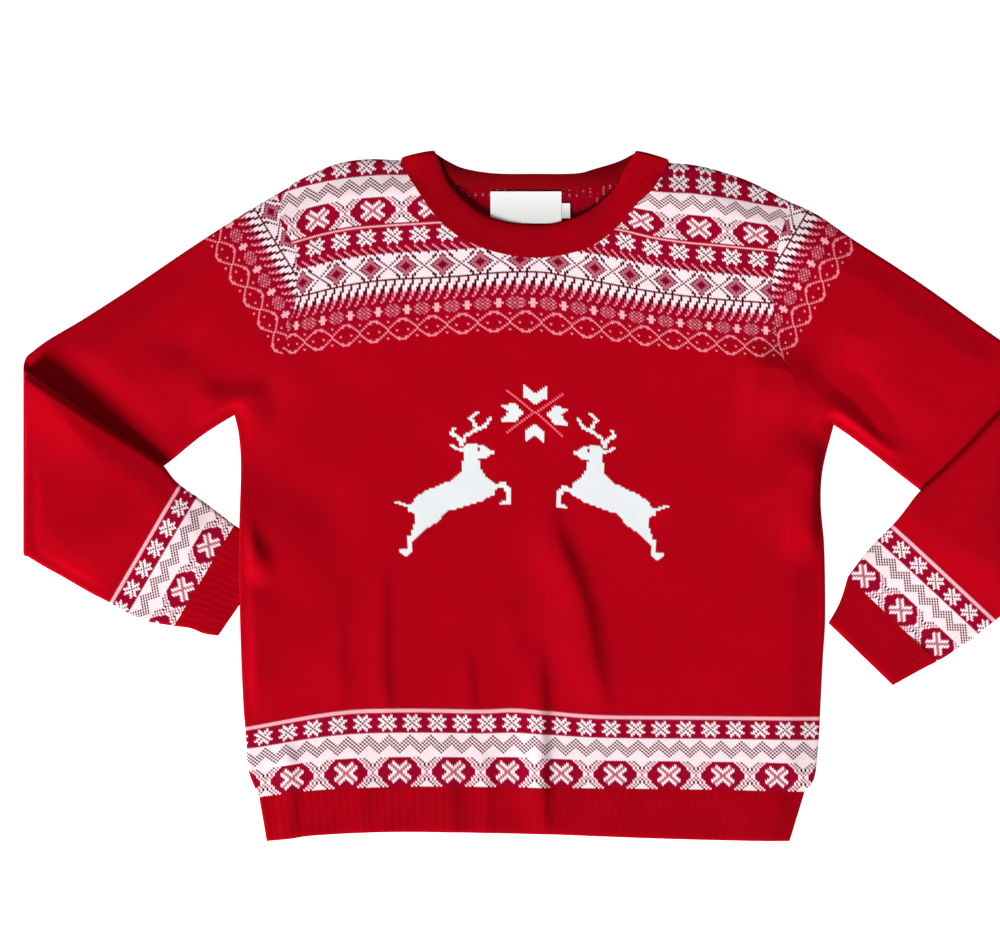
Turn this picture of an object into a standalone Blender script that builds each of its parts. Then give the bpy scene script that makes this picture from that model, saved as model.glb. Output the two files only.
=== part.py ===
"""A knitted crew-neck Christmas sweater lying flat on its back, front up.

Both sleeves slope away from the shoulders, are folded back on themselves at the
elbow, and return towards the body. The wearer's right cuff is tucked under the
body's side. Every piece of knitting is a thin wall: the body is a back panel with
a front panel laid over it, the sleeves and cuffs are flattened tubes, and the neck
is a ribbed ring turned over at both shoulders.

Frame: +Z up from the surface, +X towards the wearer's left, +Y towards the neck,
origin at the centre of the footprint. Tables are in millimetres.
"""

import math

import bmesh
import bpy
import numpy as np

MM = 0.001

# Thicknesses and heights, in millimetres.
WALL = 1.8              # stocking-stitch knitting
RIB_WALL = 2.4          # doubled neck ribbing
GAP = 0.3               # between one piece and the next
SLANT = 1.5             # a gap set along one axis is this much wider, for seams that run aslant
MID = WALL + GAP / 2    # height of the plane between the back and the front
LOFT = 3.0              # how far the front rises off the back inside its edges
LOFT_REACH = 30.0       # distance from a folded edge to the full loft
EDGE_ROUND = 4.0        # how far in from a folded edge the wall is rounded
EDGE_LEFT = 0.4         # share of the wall left at the very edge
RIB_RELIEF = 0.5       # peak and valley of the ribbing about its mean
RIB_EDGE_ANGLE = 25.0   # degrees between faces from which an edge is drawn sharp
HEM_RIB_PITCH = 7.0
CUFF_RIB_PITCH = 7.0
NECK_RIB_PITCH = 5.6

# Side of the body from the hem seam up to the armpit: x, y.
SIDE = {
    "right": ((-256, -280), (-266, -255), (-268, -228), (-271, -190), (-273, -134), (-274, -78),
              (-274, -29), (-273, 27), (-275, 57), (-279, 75)),
    "left": ((251, -275), (260, -262), (264, -228), (266, -190), (268, -150), (270, -118),
             (270, -79), (269, -43), (266, -7), (268, 26), (278, 66)),
}
# Armhole seam from the shoulder tip down to the armpit: x, y.
ARMHOLE = {
    "right": ((-230, 286), (-236, 269), (-236, 255), (-223, 232), (-221, 219), (-222, 177),
              (-228, 160), (-234, 131), (-254, 102), (-279, 75)),
    "left": ((236, 274), (233, 258), (227, 237), (221, 201), (221, 180), (229, 130), (252, 98),
             (278, 66)),
}
# Shoulder fold from the armhole to the neck: x, y.
SHOULDER = {
    "right": ((-230, 286), (-220, 293), (-186, 308), (-156, 313), (-123, 312)),
    "left": ((236, 274), (205, 290), (182, 299), (152, 307), (124, 310)),
}
# Seam between body and hem ribbing, and the hem's own edge, wearer's right to left: x, y.
HEM_SEAM = ((-256, -280), (-200, -273), (-125, -270), (-50, -270), (24, -271), (107, -272),
            (182, -273), (251, -275))
HEM_EDGE = ((-249, -320.8), (-228, -318.5), (-200, -315), (-125, -312), (2, -314), (57, -316),
            (111, -318), (185, -320), (237, -320.8))
# Neck seam on the front and on the back, wearer's right to left: x, y.
NECK_FRONT = ((-123, 312), (-121, 304), (-109, 284), (-92, 260), (-72, 242), (-47, 230), (-26, 224),
              (0, 221), (27, 224), (53, 232), (75, 248), (95, 271), (109, 284), (120, 301), (124, 310))
NECK_BACK = ((-123, 312), (-102, 301), (-74, 290), (-41, 286), (0, 286), (42, 286), (75, 291),
             (103, 300), (124, 310))

# Sleeve sections from the armhole to the elbow fold. Columns: x, y of the end on the
# over-arm edge, x, y of the end on the under-arm edge, share of the armhole's bow.
UPPER_ARM = {
    "right": (
        (-230, 286, -279, 75, 1.0),
        (-256, 271, -294, 66, 0.75),
        (-290, 250, -313, 53, 0.4),
        (-328, 225, -339, 32, 0.15),
        (-378, 191, -374, 7, 0.0),
        (-420, 164, -412, -18, 0.0),
        (-452, 145, -446, -42, 0.0),
        (-470.8, 131, -470.8, -56, 0.0),
    ),
    "left": (
        (236, 274, 278, 66, 1.0),
        (262, 262, 294, 55, 0.75),
        (297, 238, 314, 40, 0.4),
        (333, 215, 338, 21, 0.15),
        (370, 190, 372, -5, 0.0),
        (410, 161, 412, -35, 0.0),
        (440, 140, 450, -63, 0.0),
        (457, 127, 471.1, -78, 0.0),
    ),
}
# Forearm sections from the elbow fold to the cuff seam. Columns: x, y of the end on
# the edge nearer the neck, x, y of the end on the edge nearer the hem.
FOREARM = {
    "right": (
        (-470.8, 116, -470.8, -56),
        (-440, 95, -456, -65),
        (-405, 71, -440, -74),
        (-372, 49, -425, -83),
        (-347, 31, -411, -91),
        (-332, 13, -399, -97),
        (-306, -6, -365, -115),
        (-279, -27, -335, -121),
    ),
    "left": (
        (459, 108, 471.1, -78),
        (433, 80, 452, -96),
        (403, 48, 433, -112),
        (378, 23, 418, -124),
        (356, 3, 408, -132),
        (336, -23, 399, -138),
        (311, -49, 384, -148),
        (291, -75, 374, -154),
    ),
}
# Cuff sections from its seam to its end, in the same columns.
CUFF = {
    "right": (
        (-279, -27, -335, -121),
        (-266, -35, -320, -123),
        (-252, -43, -307, -128),
        (-239, -50, -294, -130),
    ),
    "left": (
        (291, -75, 374, -154),
        (286, -92, 362, -160),
        (281, -104, 351, -166),
        (273, -118, 333, -176),
    ),
}
CUFF_EDGE = 0.02        # share of the width from the edge to the first rib
CUFF_ROUND = 0.2        # share of the width over which the upper side rises
CUFF_LOFT = (1.2, 0.8, 0.5, 0.2)    # one for each section

# Places across a flattened tube. Columns: share of the width, fullness of the wall.
ACROSS = ((0.0, 0.0), (0.008, 0.7), (0.025, 1.0), (0.1, 1.0), (0.22, 1.0), (0.36, 1.0), (0.5, 1.0),
          (0.64, 1.0), (0.78, 1.0), (0.9, 1.0), (0.975, 1.0), (0.992, 0.7), (1.0, 0.0))
# Places along the armhole that the body panels share with the sleeves.
ARM_SHARES = (0.0, 0.1, 0.22, 0.36, 0.5, 0.64, 0.78, 0.9, 1.0)

RIDGE_MOST = 0.7        # how far a ridge may rise over the full loft
CUFF_END_LOFT = 0.45    # share of the loft left where the sleeve is gathered into the cuff
CUFF_GATHER = 60.0      # length over which the sleeve is gathered
CUFF_SETTLE = 25.0      # the forearm is on the surface this far before the cuff
OUTER_ARM_X = 300       # the forearm can cover the upper arm only beyond this x
STRAND_STEP = 2 * MID + 0.5     # height of the forearm's underside where it lies on the upper arm
COVER_MARGIN = 18.0     # the upper arm stays flat this far beyond the forearm's edge
STEP_MARGIN = 16.0              # how far past the upper arm's edge the forearm stays up
STEP_FALL = 40.0                # length over which it then comes down to the surface
TURN_ANGLES = (-60, -30, 0, 30, 60)     # degrees about the elbow fold

TUCK_HEIGHT = 5.3       # rise of the body's side over the tucked cuff
TUCK_MARGIN = 8.0       # full rise this far around the cuff
TUCK_FALL = 38.0        # length over which the rise fades

# Creases in the laid cloth: x, y at both ends, half-width, depth (negative for a ridge).
CREASES = (
    (12, -17, 33, -64, 12, 1.8),
    (33, -64, 48, -85, 12, 2.2),
    (48, -85, 61, -180, 14, 1.6),
    (30, -92, 42, -160, 13, -0.6),
    (16, -232, 20, -322, 13, 2.6),
    (-134, -78, -130, -143, 16, 0.9),
    (-292, 100, -246, 88, 12, 1.5),
    (-246, 88, -205, 60, 14, 1.1),
    (266, 130, 292, 62, 12, 1.6),
    (262, 96, 330, 30, 13, 1.3),
    (-250, -60, -222, -150, 14, 1.0),
    (-215, -300, -160, -235, 15, 0.9),
    (190, -310, 160, -230, 15, 0.8),
    (-372, 150, -300, 128, 18, 1.2),
    (372, 140, 300, 150, 18, 0.9),
    (-60, 140, 70, 128, 18, 0.7),
)

# Columns of the body panels as shares of each shoulder and of the neck.
SHOULDER_COLUMNS = (0.0, 0.03, 0.14, 0.32, 0.52, 0.76, 1.0)
NECK_COLUMNS_FRONT = 18
NECK_COLUMNS_BACK = 8
BODY_NECK_SPAN = (-140, 138)    # x where the lines down from the neck points reach the hem seam
# Rows of the body panels below the armpit, as shares of the side.
SIDE_SHARES = (0.0, 0.035, 0.08, 0.15, 0.23, 0.31, 0.385, 0.46, 0.53, 0.6, 0.67, 0.74, 0.81, 0.88, 0.94, 1.0)

HEM_LOFT_SHARES = (1.0, 0.8, 0.55)      # share of the body's loft at each row of the hem
HEM_END_SHARE = 0.05    # share of the hem's length over which it closes at each side

# Neck ribbing, wearer's right to left on the front, then back again behind. Columns: share
# of the seam, height there, x, y, height at the free edge. Heights are of the wall's middle.
NECK_RIB_FRONT = (
    (0.0, 4.7, -92, 318.6, 4.7),
    (0.025, 4.7, -88, 311, 4.7),
    (0.095, 4.8, -80, 292, 4.7),
    (0.185, 5.0, -66, 276, 4.6),
    (0.268, 5.2, -49, 263, 4.6),
    (0.352, 5.4, -33, 257, 4.6),
    (0.42, 5.5, -18, 254, 4.6),
    (0.5, 5.5, 3, 252.5, 4.6),
    (0.578, 5.4, 22, 254.5, 4.6),
    (0.66, 5.2, 46, 263, 4.6),
    (0.744, 5.0, 64, 276, 4.6),
    (0.835, 4.8, 77, 290, 4.7),
    (0.89, 4.7, 82, 301, 4.7),
    (0.96, 4.7, 88, 311, 4.7),
    (1.0, 4.7, 93, 318.6, 4.7),
)
NECK_RIB_BACK = (
    (1.0, 1.75, 93, 318.6, 1.75),
    (0.91, 1.75, 78, 311, 1.9),
    (0.8, 1.8, 56, 304, 4.0),
    (0.66, 1.9, 38, 299.5, 6.6),
    (0.5, 1.9, 0, 299, 7.6),
    (0.34, 1.9, -36, 299.5, 6.6),
    (0.2, 1.8, -64, 304, 4.0),
    (0.09, 1.75, -80, 311, 1.9),
    (0.0, 1.75, -92, 318.6, 1.75),
)
NECK_SAMPLES = 201      # places where the seam's direction is taken
NECK_TURN_ANGLES = (54, 18, -18, -54)
# Places across the strip. Columns: share of the width, share of the half-thickness, ribbed or not.
NECK_OUTER = ((0.0, 0.55, 0), (0.06, 1.0, 1), (0.5, 1.0, 1), (0.94, 1.0, 1), (1.0, 0.55, 0))
NECK_INNER = ((0.97, -1.0, 0), (0.5, -1.0, 0), (0.03, -1.0, 0))

# Woven label and tab on the inside of the back: low x, high x, low y, high y.
LABEL = (-41, 25, 252.5, 283)
TAB = (25.3, 33, 258, 272)
LABEL_THICK = 0.5

COLOURS = {     # linear red, green, blue
    "knit_red": (0.42, 0.005, 0.012),
    "rib_red": (0.36, 0.004, 0.008),
    "label_white": (0.82, 0.8, 0.78),
}


# ---- small geometry helpers ------------------------------------------------------

def smooth(share):
    """Ease from 0 to 1 as share goes from 0 to 1."""
    share = np.clip(share, 0.0, 1.0)
    return share * share * (3.0 - 2.0 * share)


def curve_through(points, steps=10):
    """Dense smooth line through the points (Catmull-Rom)."""
    points = np.array(points, float)
    ends = np.vstack((2 * points[0] - points[1], points, 2 * points[-1] - points[-2]))
    line = []
    for before, start, end, after in zip(ends, ends[1:], ends[2:], ends[3:]):
        for step in range(steps):
            t = step / steps
            line.append(0.5 * (2 * start + (end - before) * t
                               + (2 * before - 5 * start + 4 * end - after) * t * t
                               + (3 * start - before - 3 * end + after) * t ** 3))
    line.append(points[-1])
    return np.array(line)


def along(line, shares):
    """Points at the given shares of a line's length."""
    steps = np.linalg.norm(np.diff(line, axis=0), axis=1)
    length = np.concatenate(([0.0], np.cumsum(steps)))
    at = np.asarray(shares) * length[-1]
    return np.stack([np.interp(at, length, line[:, axis]) for axis in range(line.shape[1])], axis=1)


def length_of(line):
    return float(np.linalg.norm(np.diff(line, axis=0), axis=1).sum())


def distance_to(points, line):
    """Distance in plan from each point to a line of straight pieces."""
    points = np.asarray(points, float)[..., None, :2]
    start, end = line[:-1, :2], line[1:, :2]
    run = end - start
    share = ((points - start) * run).sum(-1) / (run * run).sum(-1)
    nearest = start + np.clip(share, 0, 1)[..., None] * run
    return np.linalg.norm(points - nearest, axis=-1).min(-1)


def side_of(points, start, end):
    """Signed distance in plan from the line start-end, positive on its right."""
    run = np.array(end, float) - np.array(start, float)
    off = np.asarray(points, float)[..., :2] - np.array(start, float)
    return (off[..., 0] * run[1] - off[..., 1] * run[0]) / np.linalg.norm(run)


def lerp(start, end, share):
    return start + (end - start) * share


# ---- the form of the laid cloth --------------------------------------------------

def ends_of(sections, which):
    """The line of one end of a table of sections: 0 for the first end, 2 for the second."""
    return np.array([row[which:which + 2] for row in sections], float)


def free_edges(side):
    """Folded edges of the body and upper arm on one side, which hold the cloth down."""
    over, under = ends_of(UPPER_ARM[side], 0), ends_of(UPPER_ARM[side], 2)
    fold = np.array((over[-1], under[-1]))
    return (curve_through(SIDE[side]), curve_through(SHOULDER[side]), over, under, fold)


def forearm_edges(side):
    near, far = ends_of(FOREARM[side], 0), ends_of(FOREARM[side], 2)
    return (near, far, np.array((near[0], far[0])))


def inside_of_fold(points, side, start, end):
    """Signed distance from a line that runs from the body outwards, positive towards the hem."""
    away = side_of(points, start, end)
    return -away if side == "right" else away


def body_loft(points):
    """Rise of the front wall above the back wall, on the body and the upper arms."""
    points = np.asarray(points, float)
    rise = np.full(points.shape[:-1], LOFT)
    for side in ("right", "left"):
        near = np.min([distance_to(points, line) for line in free_edges(side)], axis=0)
        rise = np.minimum(rise, LOFT * smooth(near / LOFT_REACH))
        edge = ends_of(FOREARM[side], 0)
        above = -inside_of_fold(points, side, edge[4], edge[0])
        covered = np.abs(points[..., 0]) > OUTER_ARM_X
        rise = np.where(covered, rise * smooth((above - COVER_MARGIN) / LOFT_REACH), rise)
    for x0, y0, x1, y1, half_width, depth in CREASES:
        near = distance_to(points, np.array(((x0, y0), (x1, y1)), float))
        rise = rise - depth * np.exp(-(near / half_width) ** 2) * smooth(2 * rise / LOFT)
    return np.clip(rise, 0.0, LOFT + RIDGE_MOST)


def forearm_loft(points, side):
    """Rise of the forearm's upper wall, falling towards the cuff."""
    near = np.min([distance_to(points, line) for line in forearm_edges(side)], axis=0)
    seam = np.array(FOREARM[side][-1], float).reshape(2, 2)
    cuff = distance_to(points, seam)
    return LOFT * smooth(near / LOFT_REACH) * lerp(CUFF_END_LOFT, 1.0, smooth(cuff / CUFF_GATHER))


def forearm_base(points, side):
    """Height of the forearm's underside: on the upper arm, then down to the surface."""
    under = ends_of(UPPER_ARM[side], 2)
    past = inside_of_fold(points, side, under[3], under[-1])
    near_cuff = distance_to(points, np.array(FOREARM[side][-1], float).reshape(2, 2))
    return STRAND_STEP * (1.0 - smooth((past - STEP_MARGIN) / STEP_FALL)) * smooth(near_cuff / CUFF_SETTLE)


def tuck_rise(points):
    """Rise of the body where the wearer's right cuff lies under it."""
    first, last = np.array(CUFF["right"][0], float), np.array(CUFF["right"][-1], float)
    ring = np.array((first[:2], last[:2], last[2:], first[2:], first[:2]))
    inside = np.ones(np.asarray(points).shape[:-1], bool)
    for start, end in zip(ring, ring[1:]):
        inside &= side_of(points, start, end) > 0
    away = np.where(inside, 0.0, distance_to(points, ring))
    return TUCK_HEIGHT * (1.0 - smooth((away - TUCK_MARGIN) / TUCK_FALL))


def fullness(points):
    """Share of the wall's half-height left near the body's folded edges."""
    edges = [line for side in ("right", "left") for line in free_edges(side)[:2]]
    near = np.min([distance_to(points, line) for line in edges], axis=0)
    inwards = 1.0 - np.clip(near / EDGE_ROUND, 0.0, 1.0)
    return EDGE_LEFT + (1.0 - EDGE_LEFT) * np.sqrt(1.0 - inwards ** 2)


# ---- meshes ----------------------------------------------------------------------

def material(name):
    made = bpy.data.materials.get(name) or bpy.data.materials.new(name)
    made.use_nodes = True
    shader = made.node_tree.nodes["Principled BSDF"]
    shader.inputs["Base Color"].default_value = (*COLOURS[name], 1.0)
    shader.inputs["Roughness"].default_value = 0.9
    shader.inputs["Metallic"].default_value = 0.0
    made.diffuse_color = (*COLOURS[name], 1.0)
    return made


def add_object(name, points, faces, finish):
    mesh = bpy.data.meshes.new(name)
    mesh.from_pydata([tuple(point * MM) for point in points], [], faces)
    work = bmesh.new()
    work.from_mesh(mesh)
    bmesh.ops.recalc_face_normals(work, faces=work.faces)
    work.to_mesh(mesh)
    work.free()
    mesh.shade_smooth()
    mesh.set_sharp_from_angle(angle=math.radians(RIB_EDGE_ANGLE))
    mesh.materials.append(material(finish))
    made = bpy.data.objects.new(name, mesh)
    bpy.context.scene.collection.objects.link(made)
    return made


def sheet_solid(name, outer, inner, finish):
    """Closed wall between two grids of points, rows by columns, of the same shape."""
    rows, columns = outer.shape[:2]
    points = np.concatenate((outer.reshape(-1, 3), inner.reshape(-1, 3)))
    under = rows * columns

    def at(row, column):
        return row * columns + column

    faces = []
    for row in range(rows - 1):
        for column in range(columns - 1):
            quad = (at(row, column), at(row, column + 1), at(row + 1, column + 1), at(row + 1, column))
            faces.append(quad)
            faces.append(tuple(under + corner for corner in reversed(quad)))
    rim = ([at(0, column) for column in range(columns)]
           + [at(row, columns - 1) for row in range(1, rows)]
           + [at(rows - 1, column) for column in range(columns - 2, -1, -1)]
           + [at(row, 0) for row in range(rows - 2, 0, -1)])
    for start, end in zip(rim, rim[1:] + rim[:1]):
        faces.append((end, start, under + start, under + end))
    return add_object(name, points, faces, finish)


def tube_solid(name, outer, inner, finish):
    """Wall of a tube open at both ends, between two sets of rings, rings by points."""
    rings, around = outer.shape[:2]
    points = np.concatenate((outer.reshape(-1, 3), inner.reshape(-1, 3)))
    under = rings * around
    faces = []
    for ring in range(rings - 1):
        after = ring + 1
        for place in range(around):
            beside = (place + 1) % around
            quad = (ring * around + place, ring * around + beside,
                    after * around + beside, after * around + place)
            faces.append(quad)
            faces.append(tuple(under + corner for corner in reversed(quad)))
    for ring in (0, rings - 1):
        for place in range(around):
            start, end = ring * around + place, ring * around + (place + 1) % around
            faces.append((start, end, under + end, under + start))
    return add_object(name, points, faces, finish)


# ---- body ------------------------------------------------------------------------

def armhole_points(side):
    """Points of the armhole that panels and sleeve share, shoulder tip to armpit."""
    return along(curve_through(ARMHOLE[side]), ARM_SHARES)


def side_line(side):
    """Panel edge from the hem seam to the shoulder tip: the side, then the armhole."""
    rise = along(curve_through(SIDE[side]), SIDE_SHARES)
    return np.vstack((rise[:-1], armhole_points(side)[::-1]))


def panel_plan(neck, neck_columns):
    """Plan points of a body panel, rows from the hem seam up, wearer's right to left."""
    right_edge, left_edge = side_line("right"), side_line("left")
    shoulders = np.array(SHOULDER_COLUMNS)
    neck_shares = np.linspace(0, 1, neck_columns + 1)
    top = np.vstack((along(curve_through(SHOULDER["right"]), shoulders)[:-1],
                     along(curve_through(neck), neck_shares),
                     along(curve_through(SHOULDER["left"]), shoulders)[::-1][1:]))
    seam = curve_through(HEM_SEAM)
    first, last = seam[0, 0], seam[-1, 0]
    low_x = np.concatenate((lerp(first, BODY_NECK_SPAN[0], shoulders)[:-1],
                            np.linspace(*BODY_NECK_SPAN, neck_columns + 1),
                            lerp(last, BODY_NECK_SPAN[1], shoulders)[::-1][1:]))
    bottom = np.stack((low_x, np.interp(low_x, seam[:, 0], seam[:, 1])), axis=1)
    across = ((low_x - first) / (last - first))[None, :, None]
    height = right_edge[:, 1] - right_edge[0, 1]
    up = (height / height[-1])[:, None, None]
    corners = ((1 - across) * (1 - up) * bottom[0] + across * (1 - up) * bottom[-1]
               + (1 - across) * up * top[0] + across * up * top[-1])
    return ((1 - up) * bottom[None] + up * top[None]
            + (1 - across) * right_edge[:, None] + across * left_edge[:, None] - corners)


def with_height(plan, height):
    return np.concatenate((plan, np.broadcast_to(height, plan.shape[:-1])[..., None]), axis=-1)


def make_front_panel():
    plan = panel_plan(NECK_FRONT, NECK_COLUMNS_FRONT)
    lift = tuck_rise(plan) + body_loft(plan)
    outer = with_height(plan, MID + fullness(plan) * MID + lift)
    inner = with_height(plan, MID + GAP / 2 + lift)
    sheet_solid("front_panel", outer, inner, "knit_red")


def make_back_panel():
    plan = panel_plan(NECK_BACK, NECK_COLUMNS_BACK)
    lift = tuck_rise(plan)
    outer = with_height(plan, MID - fullness(plan) * MID + lift)
    inner = with_height(plan, MID - GAP / 2 + lift)
    sheet_solid("back_panel", outer, inner, "knit_red")


def rib_wave(count):
    """Places and relief of a row of ribs: valleys at both ends, a peak in each rib."""
    shares = np.linspace(0, 1, 2 * count + 1)
    relief = np.where(np.arange(2 * count + 1) % 2, RIB_RELIEF, -RIB_RELIEF)
    return shares, relief


def hem_plan(shares):
    """Three rows of plan points of a hem rib, from the body's seam to the hem's edge."""
    seam = along(curve_through(HEM_SEAM), shares) - np.array((0.0, SLANT * GAP))
    edge = along(curve_through(HEM_EDGE), shares)
    return np.stack((seam, lerp(seam, edge, 0.5), edge))


def make_hem_ribs():
    count = round(length_of(np.array(HEM_SEAM, float)) / HEM_RIB_PITCH)
    shares, relief = rib_wave(count)
    plan = hem_plan(shares)
    ends = smooth(np.minimum(shares, 1 - shares) / HEM_END_SHARE)
    loft = body_loft(plan) * np.array(HEM_LOFT_SHARES)[:, None] * ends
    outer = with_height(plan, 2 * MID + loft + relief)
    inner = with_height(plan, MID + GAP / 2 + loft)
    sheet_solid("front_hem_rib", outer, inner, "rib_red")
    plan = hem_plan(np.linspace(0, 1, 13))
    sheet_solid("back_hem_rib", with_height(plan, 0.0), with_height(plan, WALL), "rib_red")


# ---- sleeves ---------------------------------------------------------------------

def around_tube():
    """Ring places of a flattened tube: share of the width, fullness up (+) or down (-)."""
    shares = [share for share, full in ACROSS] + [share for share, full in ACROSS[-2:0:-1]]
    fulls = [full for share, full in ACROSS] + [-full for share, full in ACROSS[-2:0:-1]]
    return np.array(shares), np.array(fulls)


def width_of(row):
    return math.hypot(row[2] - row[0], row[3] - row[1])


def sleeve_line(side, row, shares):
    """Plan points across one upper-arm section, bowed like the armhole near it."""
    start, end, bow = np.array(row[:2], float), np.array(row[2:4], float), row[4]
    seam = armhole_points(side)
    knots = np.array(ARM_SHARES)
    bowed = np.stack([np.interp(shares, knots, seam[:, axis]) for axis in (0, 1)], axis=1)
    chord = lerp(seam[0], seam[-1], shares[:, None])
    return lerp(start, end, shares[:, None]) + bow * (bowed - chord)


def inset(shares, width):
    """The same places across, drawn in by the wall near both edges only."""
    margin, reach = WALL / width, 0.1
    from_low = np.clip(1 - shares / reach, 0, 1)
    from_high = np.clip(1 - (1 - shares) / reach, 0, 1)
    return shares + margin * (from_low - from_high)


def make_sleeve(side):
    sign = -1.0 if side == "right" else 1.0
    shares, fulls = around_tube()
    up = np.clip(fulls, 0, 1)
    down = np.clip(-fulls, 0, 1)
    half = {"outer": MID, "inner": GAP / 2}
    rings = {"outer": [], "inner": []}
    for number, row in enumerate(UPPER_ARM[side]):
        full_line = sleeve_line(side, row, shares)
        for wall in rings:
            places = shares if wall == "outer" else inset(shares, width_of(row))
            line = sleeve_line(side, row, places)
            if number == 0:
                line = line + np.array((sign * SLANT * GAP, 0.0))
            loft = body_loft(full_line) * up
            rings[wall].append(with_height(line, MID + fulls * half[wall] + loft))
    # The elbow: the back of the tube goes round the outside of the front.
    low, high = np.array(UPPER_ARM[side][-1][:4], float), np.array(FOREARM[side][0], float)
    radius, centre = STRAND_STEP / 2, MID + STRAND_STEP / 2
    for angle in np.radians(TURN_ANGLES):
        ends = lerp(low, high, 0.5 + 0.5 * math.sin(angle)).reshape(2, 2)
        run = ends[1] - ends[0]
        out = sign * np.array((-run[1], run[0])) / np.linalg.norm(run)
        for wall in rings:
            places = shares if wall == "outer" else inset(shares, np.linalg.norm(run))
            line = lerp(ends[0], ends[1], places[:, None])
            reach = radius - fulls * half[wall]
            line = line + out * (reach * math.cos(angle))[:, None]
            rings[wall].append(with_height(line, centre + reach * math.sin(angle)))
    for row in FOREARM[side]:
        ends = np.array(row, float).reshape(2, 2)
        full_line = lerp(ends[0], ends[1], shares[:, None])
        for wall in rings:
            places = shares if wall == "outer" else inset(shares, width_of(row))
            line = lerp(ends[0], ends[1], places[:, None])
            base = forearm_base(full_line, side) + MID
            loft = forearm_loft(full_line, side) * down
            rings[wall].append(with_height(line, base - fulls * half[wall] + loft))
    tube_solid(f"{side}_sleeve", np.array(rings["outer"]), np.array(rings["inner"]), "knit_red")


def make_cuff(side):
    """Ribbed tube: ribs on its upper side, a plain flat underside."""
    first = np.array(CUFF[side][0], float)
    width = np.linalg.norm(first[2:] - first[:2])
    wave, relief = rib_wave(round(width / CUFF_RIB_PITCH))
    under = np.linspace(1 - CUFF_EDGE, CUFF_EDGE, 5)
    shares = np.concatenate(((0.0,), lerp(CUFF_EDGE, 1 - CUFF_EDGE, wave), (1.0,), under))
    fulls = np.concatenate(((0.0,), np.ones(len(wave)), (0.0,), -np.ones(len(under))))
    ribs = np.concatenate(((0.0,), relief, (0.0,), np.zeros(len(under))))
    after = np.array(CUFF[side][1], float)
    start = (after - first) / np.linalg.norm(after[:2] - first[:2]) * SLANT * GAP
    rings = {"outer": [], "inner": []}
    for number, row in enumerate(CUFF[side]):
        ends = (np.array(row, float) + (start if number == 0 else 0.0)).reshape(2, 2)
        loft = CUFF_LOFT[number] * np.clip(fulls, 0, 1) * smooth(np.minimum(shares, 1 - shares) / CUFF_ROUND)
        outer = lerp(ends[0], ends[1], shares[:, None])
        inner = lerp(ends[0], ends[1], inset(shares, width)[:, None])
        rings["outer"].append(with_height(outer, MID + fulls * MID + loft + ribs))
        rings["inner"].append(with_height(inner, MID + fulls * GAP / 2 + loft))
    tube_solid(f"{side}_cuff", np.array(rings["outer"]), np.array(rings["inner"]), "rib_red")


# ---- neck ------------------------------------------------------------------------

def neck_seam(neck, columns, shares):
    """Points beside the panel's neck edge, one gap away from it."""
    edge = along(curve_through(neck), np.linspace(0, 1, columns + 1))
    seam = along(edge, shares)
    even = np.linspace(0, 1, NECK_SAMPLES)
    run = np.gradient(along(edge, even), axis=0)
    run = np.stack([np.interp(shares, even, run[:, axis]) for axis in (0, 1)], axis=1)
    run /= np.linalg.norm(run, axis=1)[:, None]
    return seam + SLANT * GAP * np.stack((-run[:, 1], run[:, 0]), axis=1)


def neck_stations(table, neck, columns, facing_sign):
    """Rib stations along one half of the ring: seam points, free points, outward facing."""
    line = curve_through(table)
    seam = neck_seam(neck, columns, np.clip(line[:, 0], 0, 1))
    line = np.column_stack((seam, line[:, 1:]))
    middle = (line[:, :3] + line[:, 3:]) / 2
    steps = np.linalg.norm(np.diff(middle, axis=0), axis=1)
    travelled = np.concatenate(([0.0], np.cumsum(steps)))
    shares, relief = rib_wave(round(travelled[-1] / NECK_RIB_PITCH))
    at = shares * travelled[-1]
    both = np.stack([np.interp(at, travelled, line[:, axis]) for axis in range(6)], axis=1)
    seam, free = both[:, :3], both[:, 3:]
    facing = np.cross(np.gradient((seam + free) / 2, axis=0), free - seam)
    facing /= np.linalg.norm(facing, axis=1)[:, None]
    facing *= (np.sign(facing[:, 2]) * facing_sign)[:, None]
    return seam, free, facing, relief


def neck_section(seam, free, facing, relief):
    """Ring of points round the strip's cross-section at one station."""
    points = []
    for share, half, ribbed in NECK_OUTER + NECK_INNER:
        points.append(lerp(seam, free, share) + facing * (half * RIB_WALL / 2 + ribbed * relief))
    return np.array(points)


def neck_turn(high, low, sign):
    """Stations of the half turn over one shoulder, from the front down to the back."""
    high, low = np.concatenate(high[:2]), np.concatenate(low[:2])
    stations = []
    radius, centre = (high[2] - low[2]) / 2, (high[2] + low[2]) / 2
    for angle in np.radians(NECK_TURN_ANGLES):
        row = lerp(low, high, 0.5 + 0.5 * math.sin(angle))
        run = row[3:5] - row[:2]
        out = sign * np.array((-run[1], run[0])) / np.linalg.norm(run)
        facing = np.array((*(out * math.cos(angle)), math.sin(angle)))
        for place in (0, 3):
            row[place:place + 2] += out * radius * math.cos(angle)
            row[place + 2] = centre + radius * math.sin(angle)
        stations.append((row[:3], row[3:], facing, 0.0))
    return stations


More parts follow.
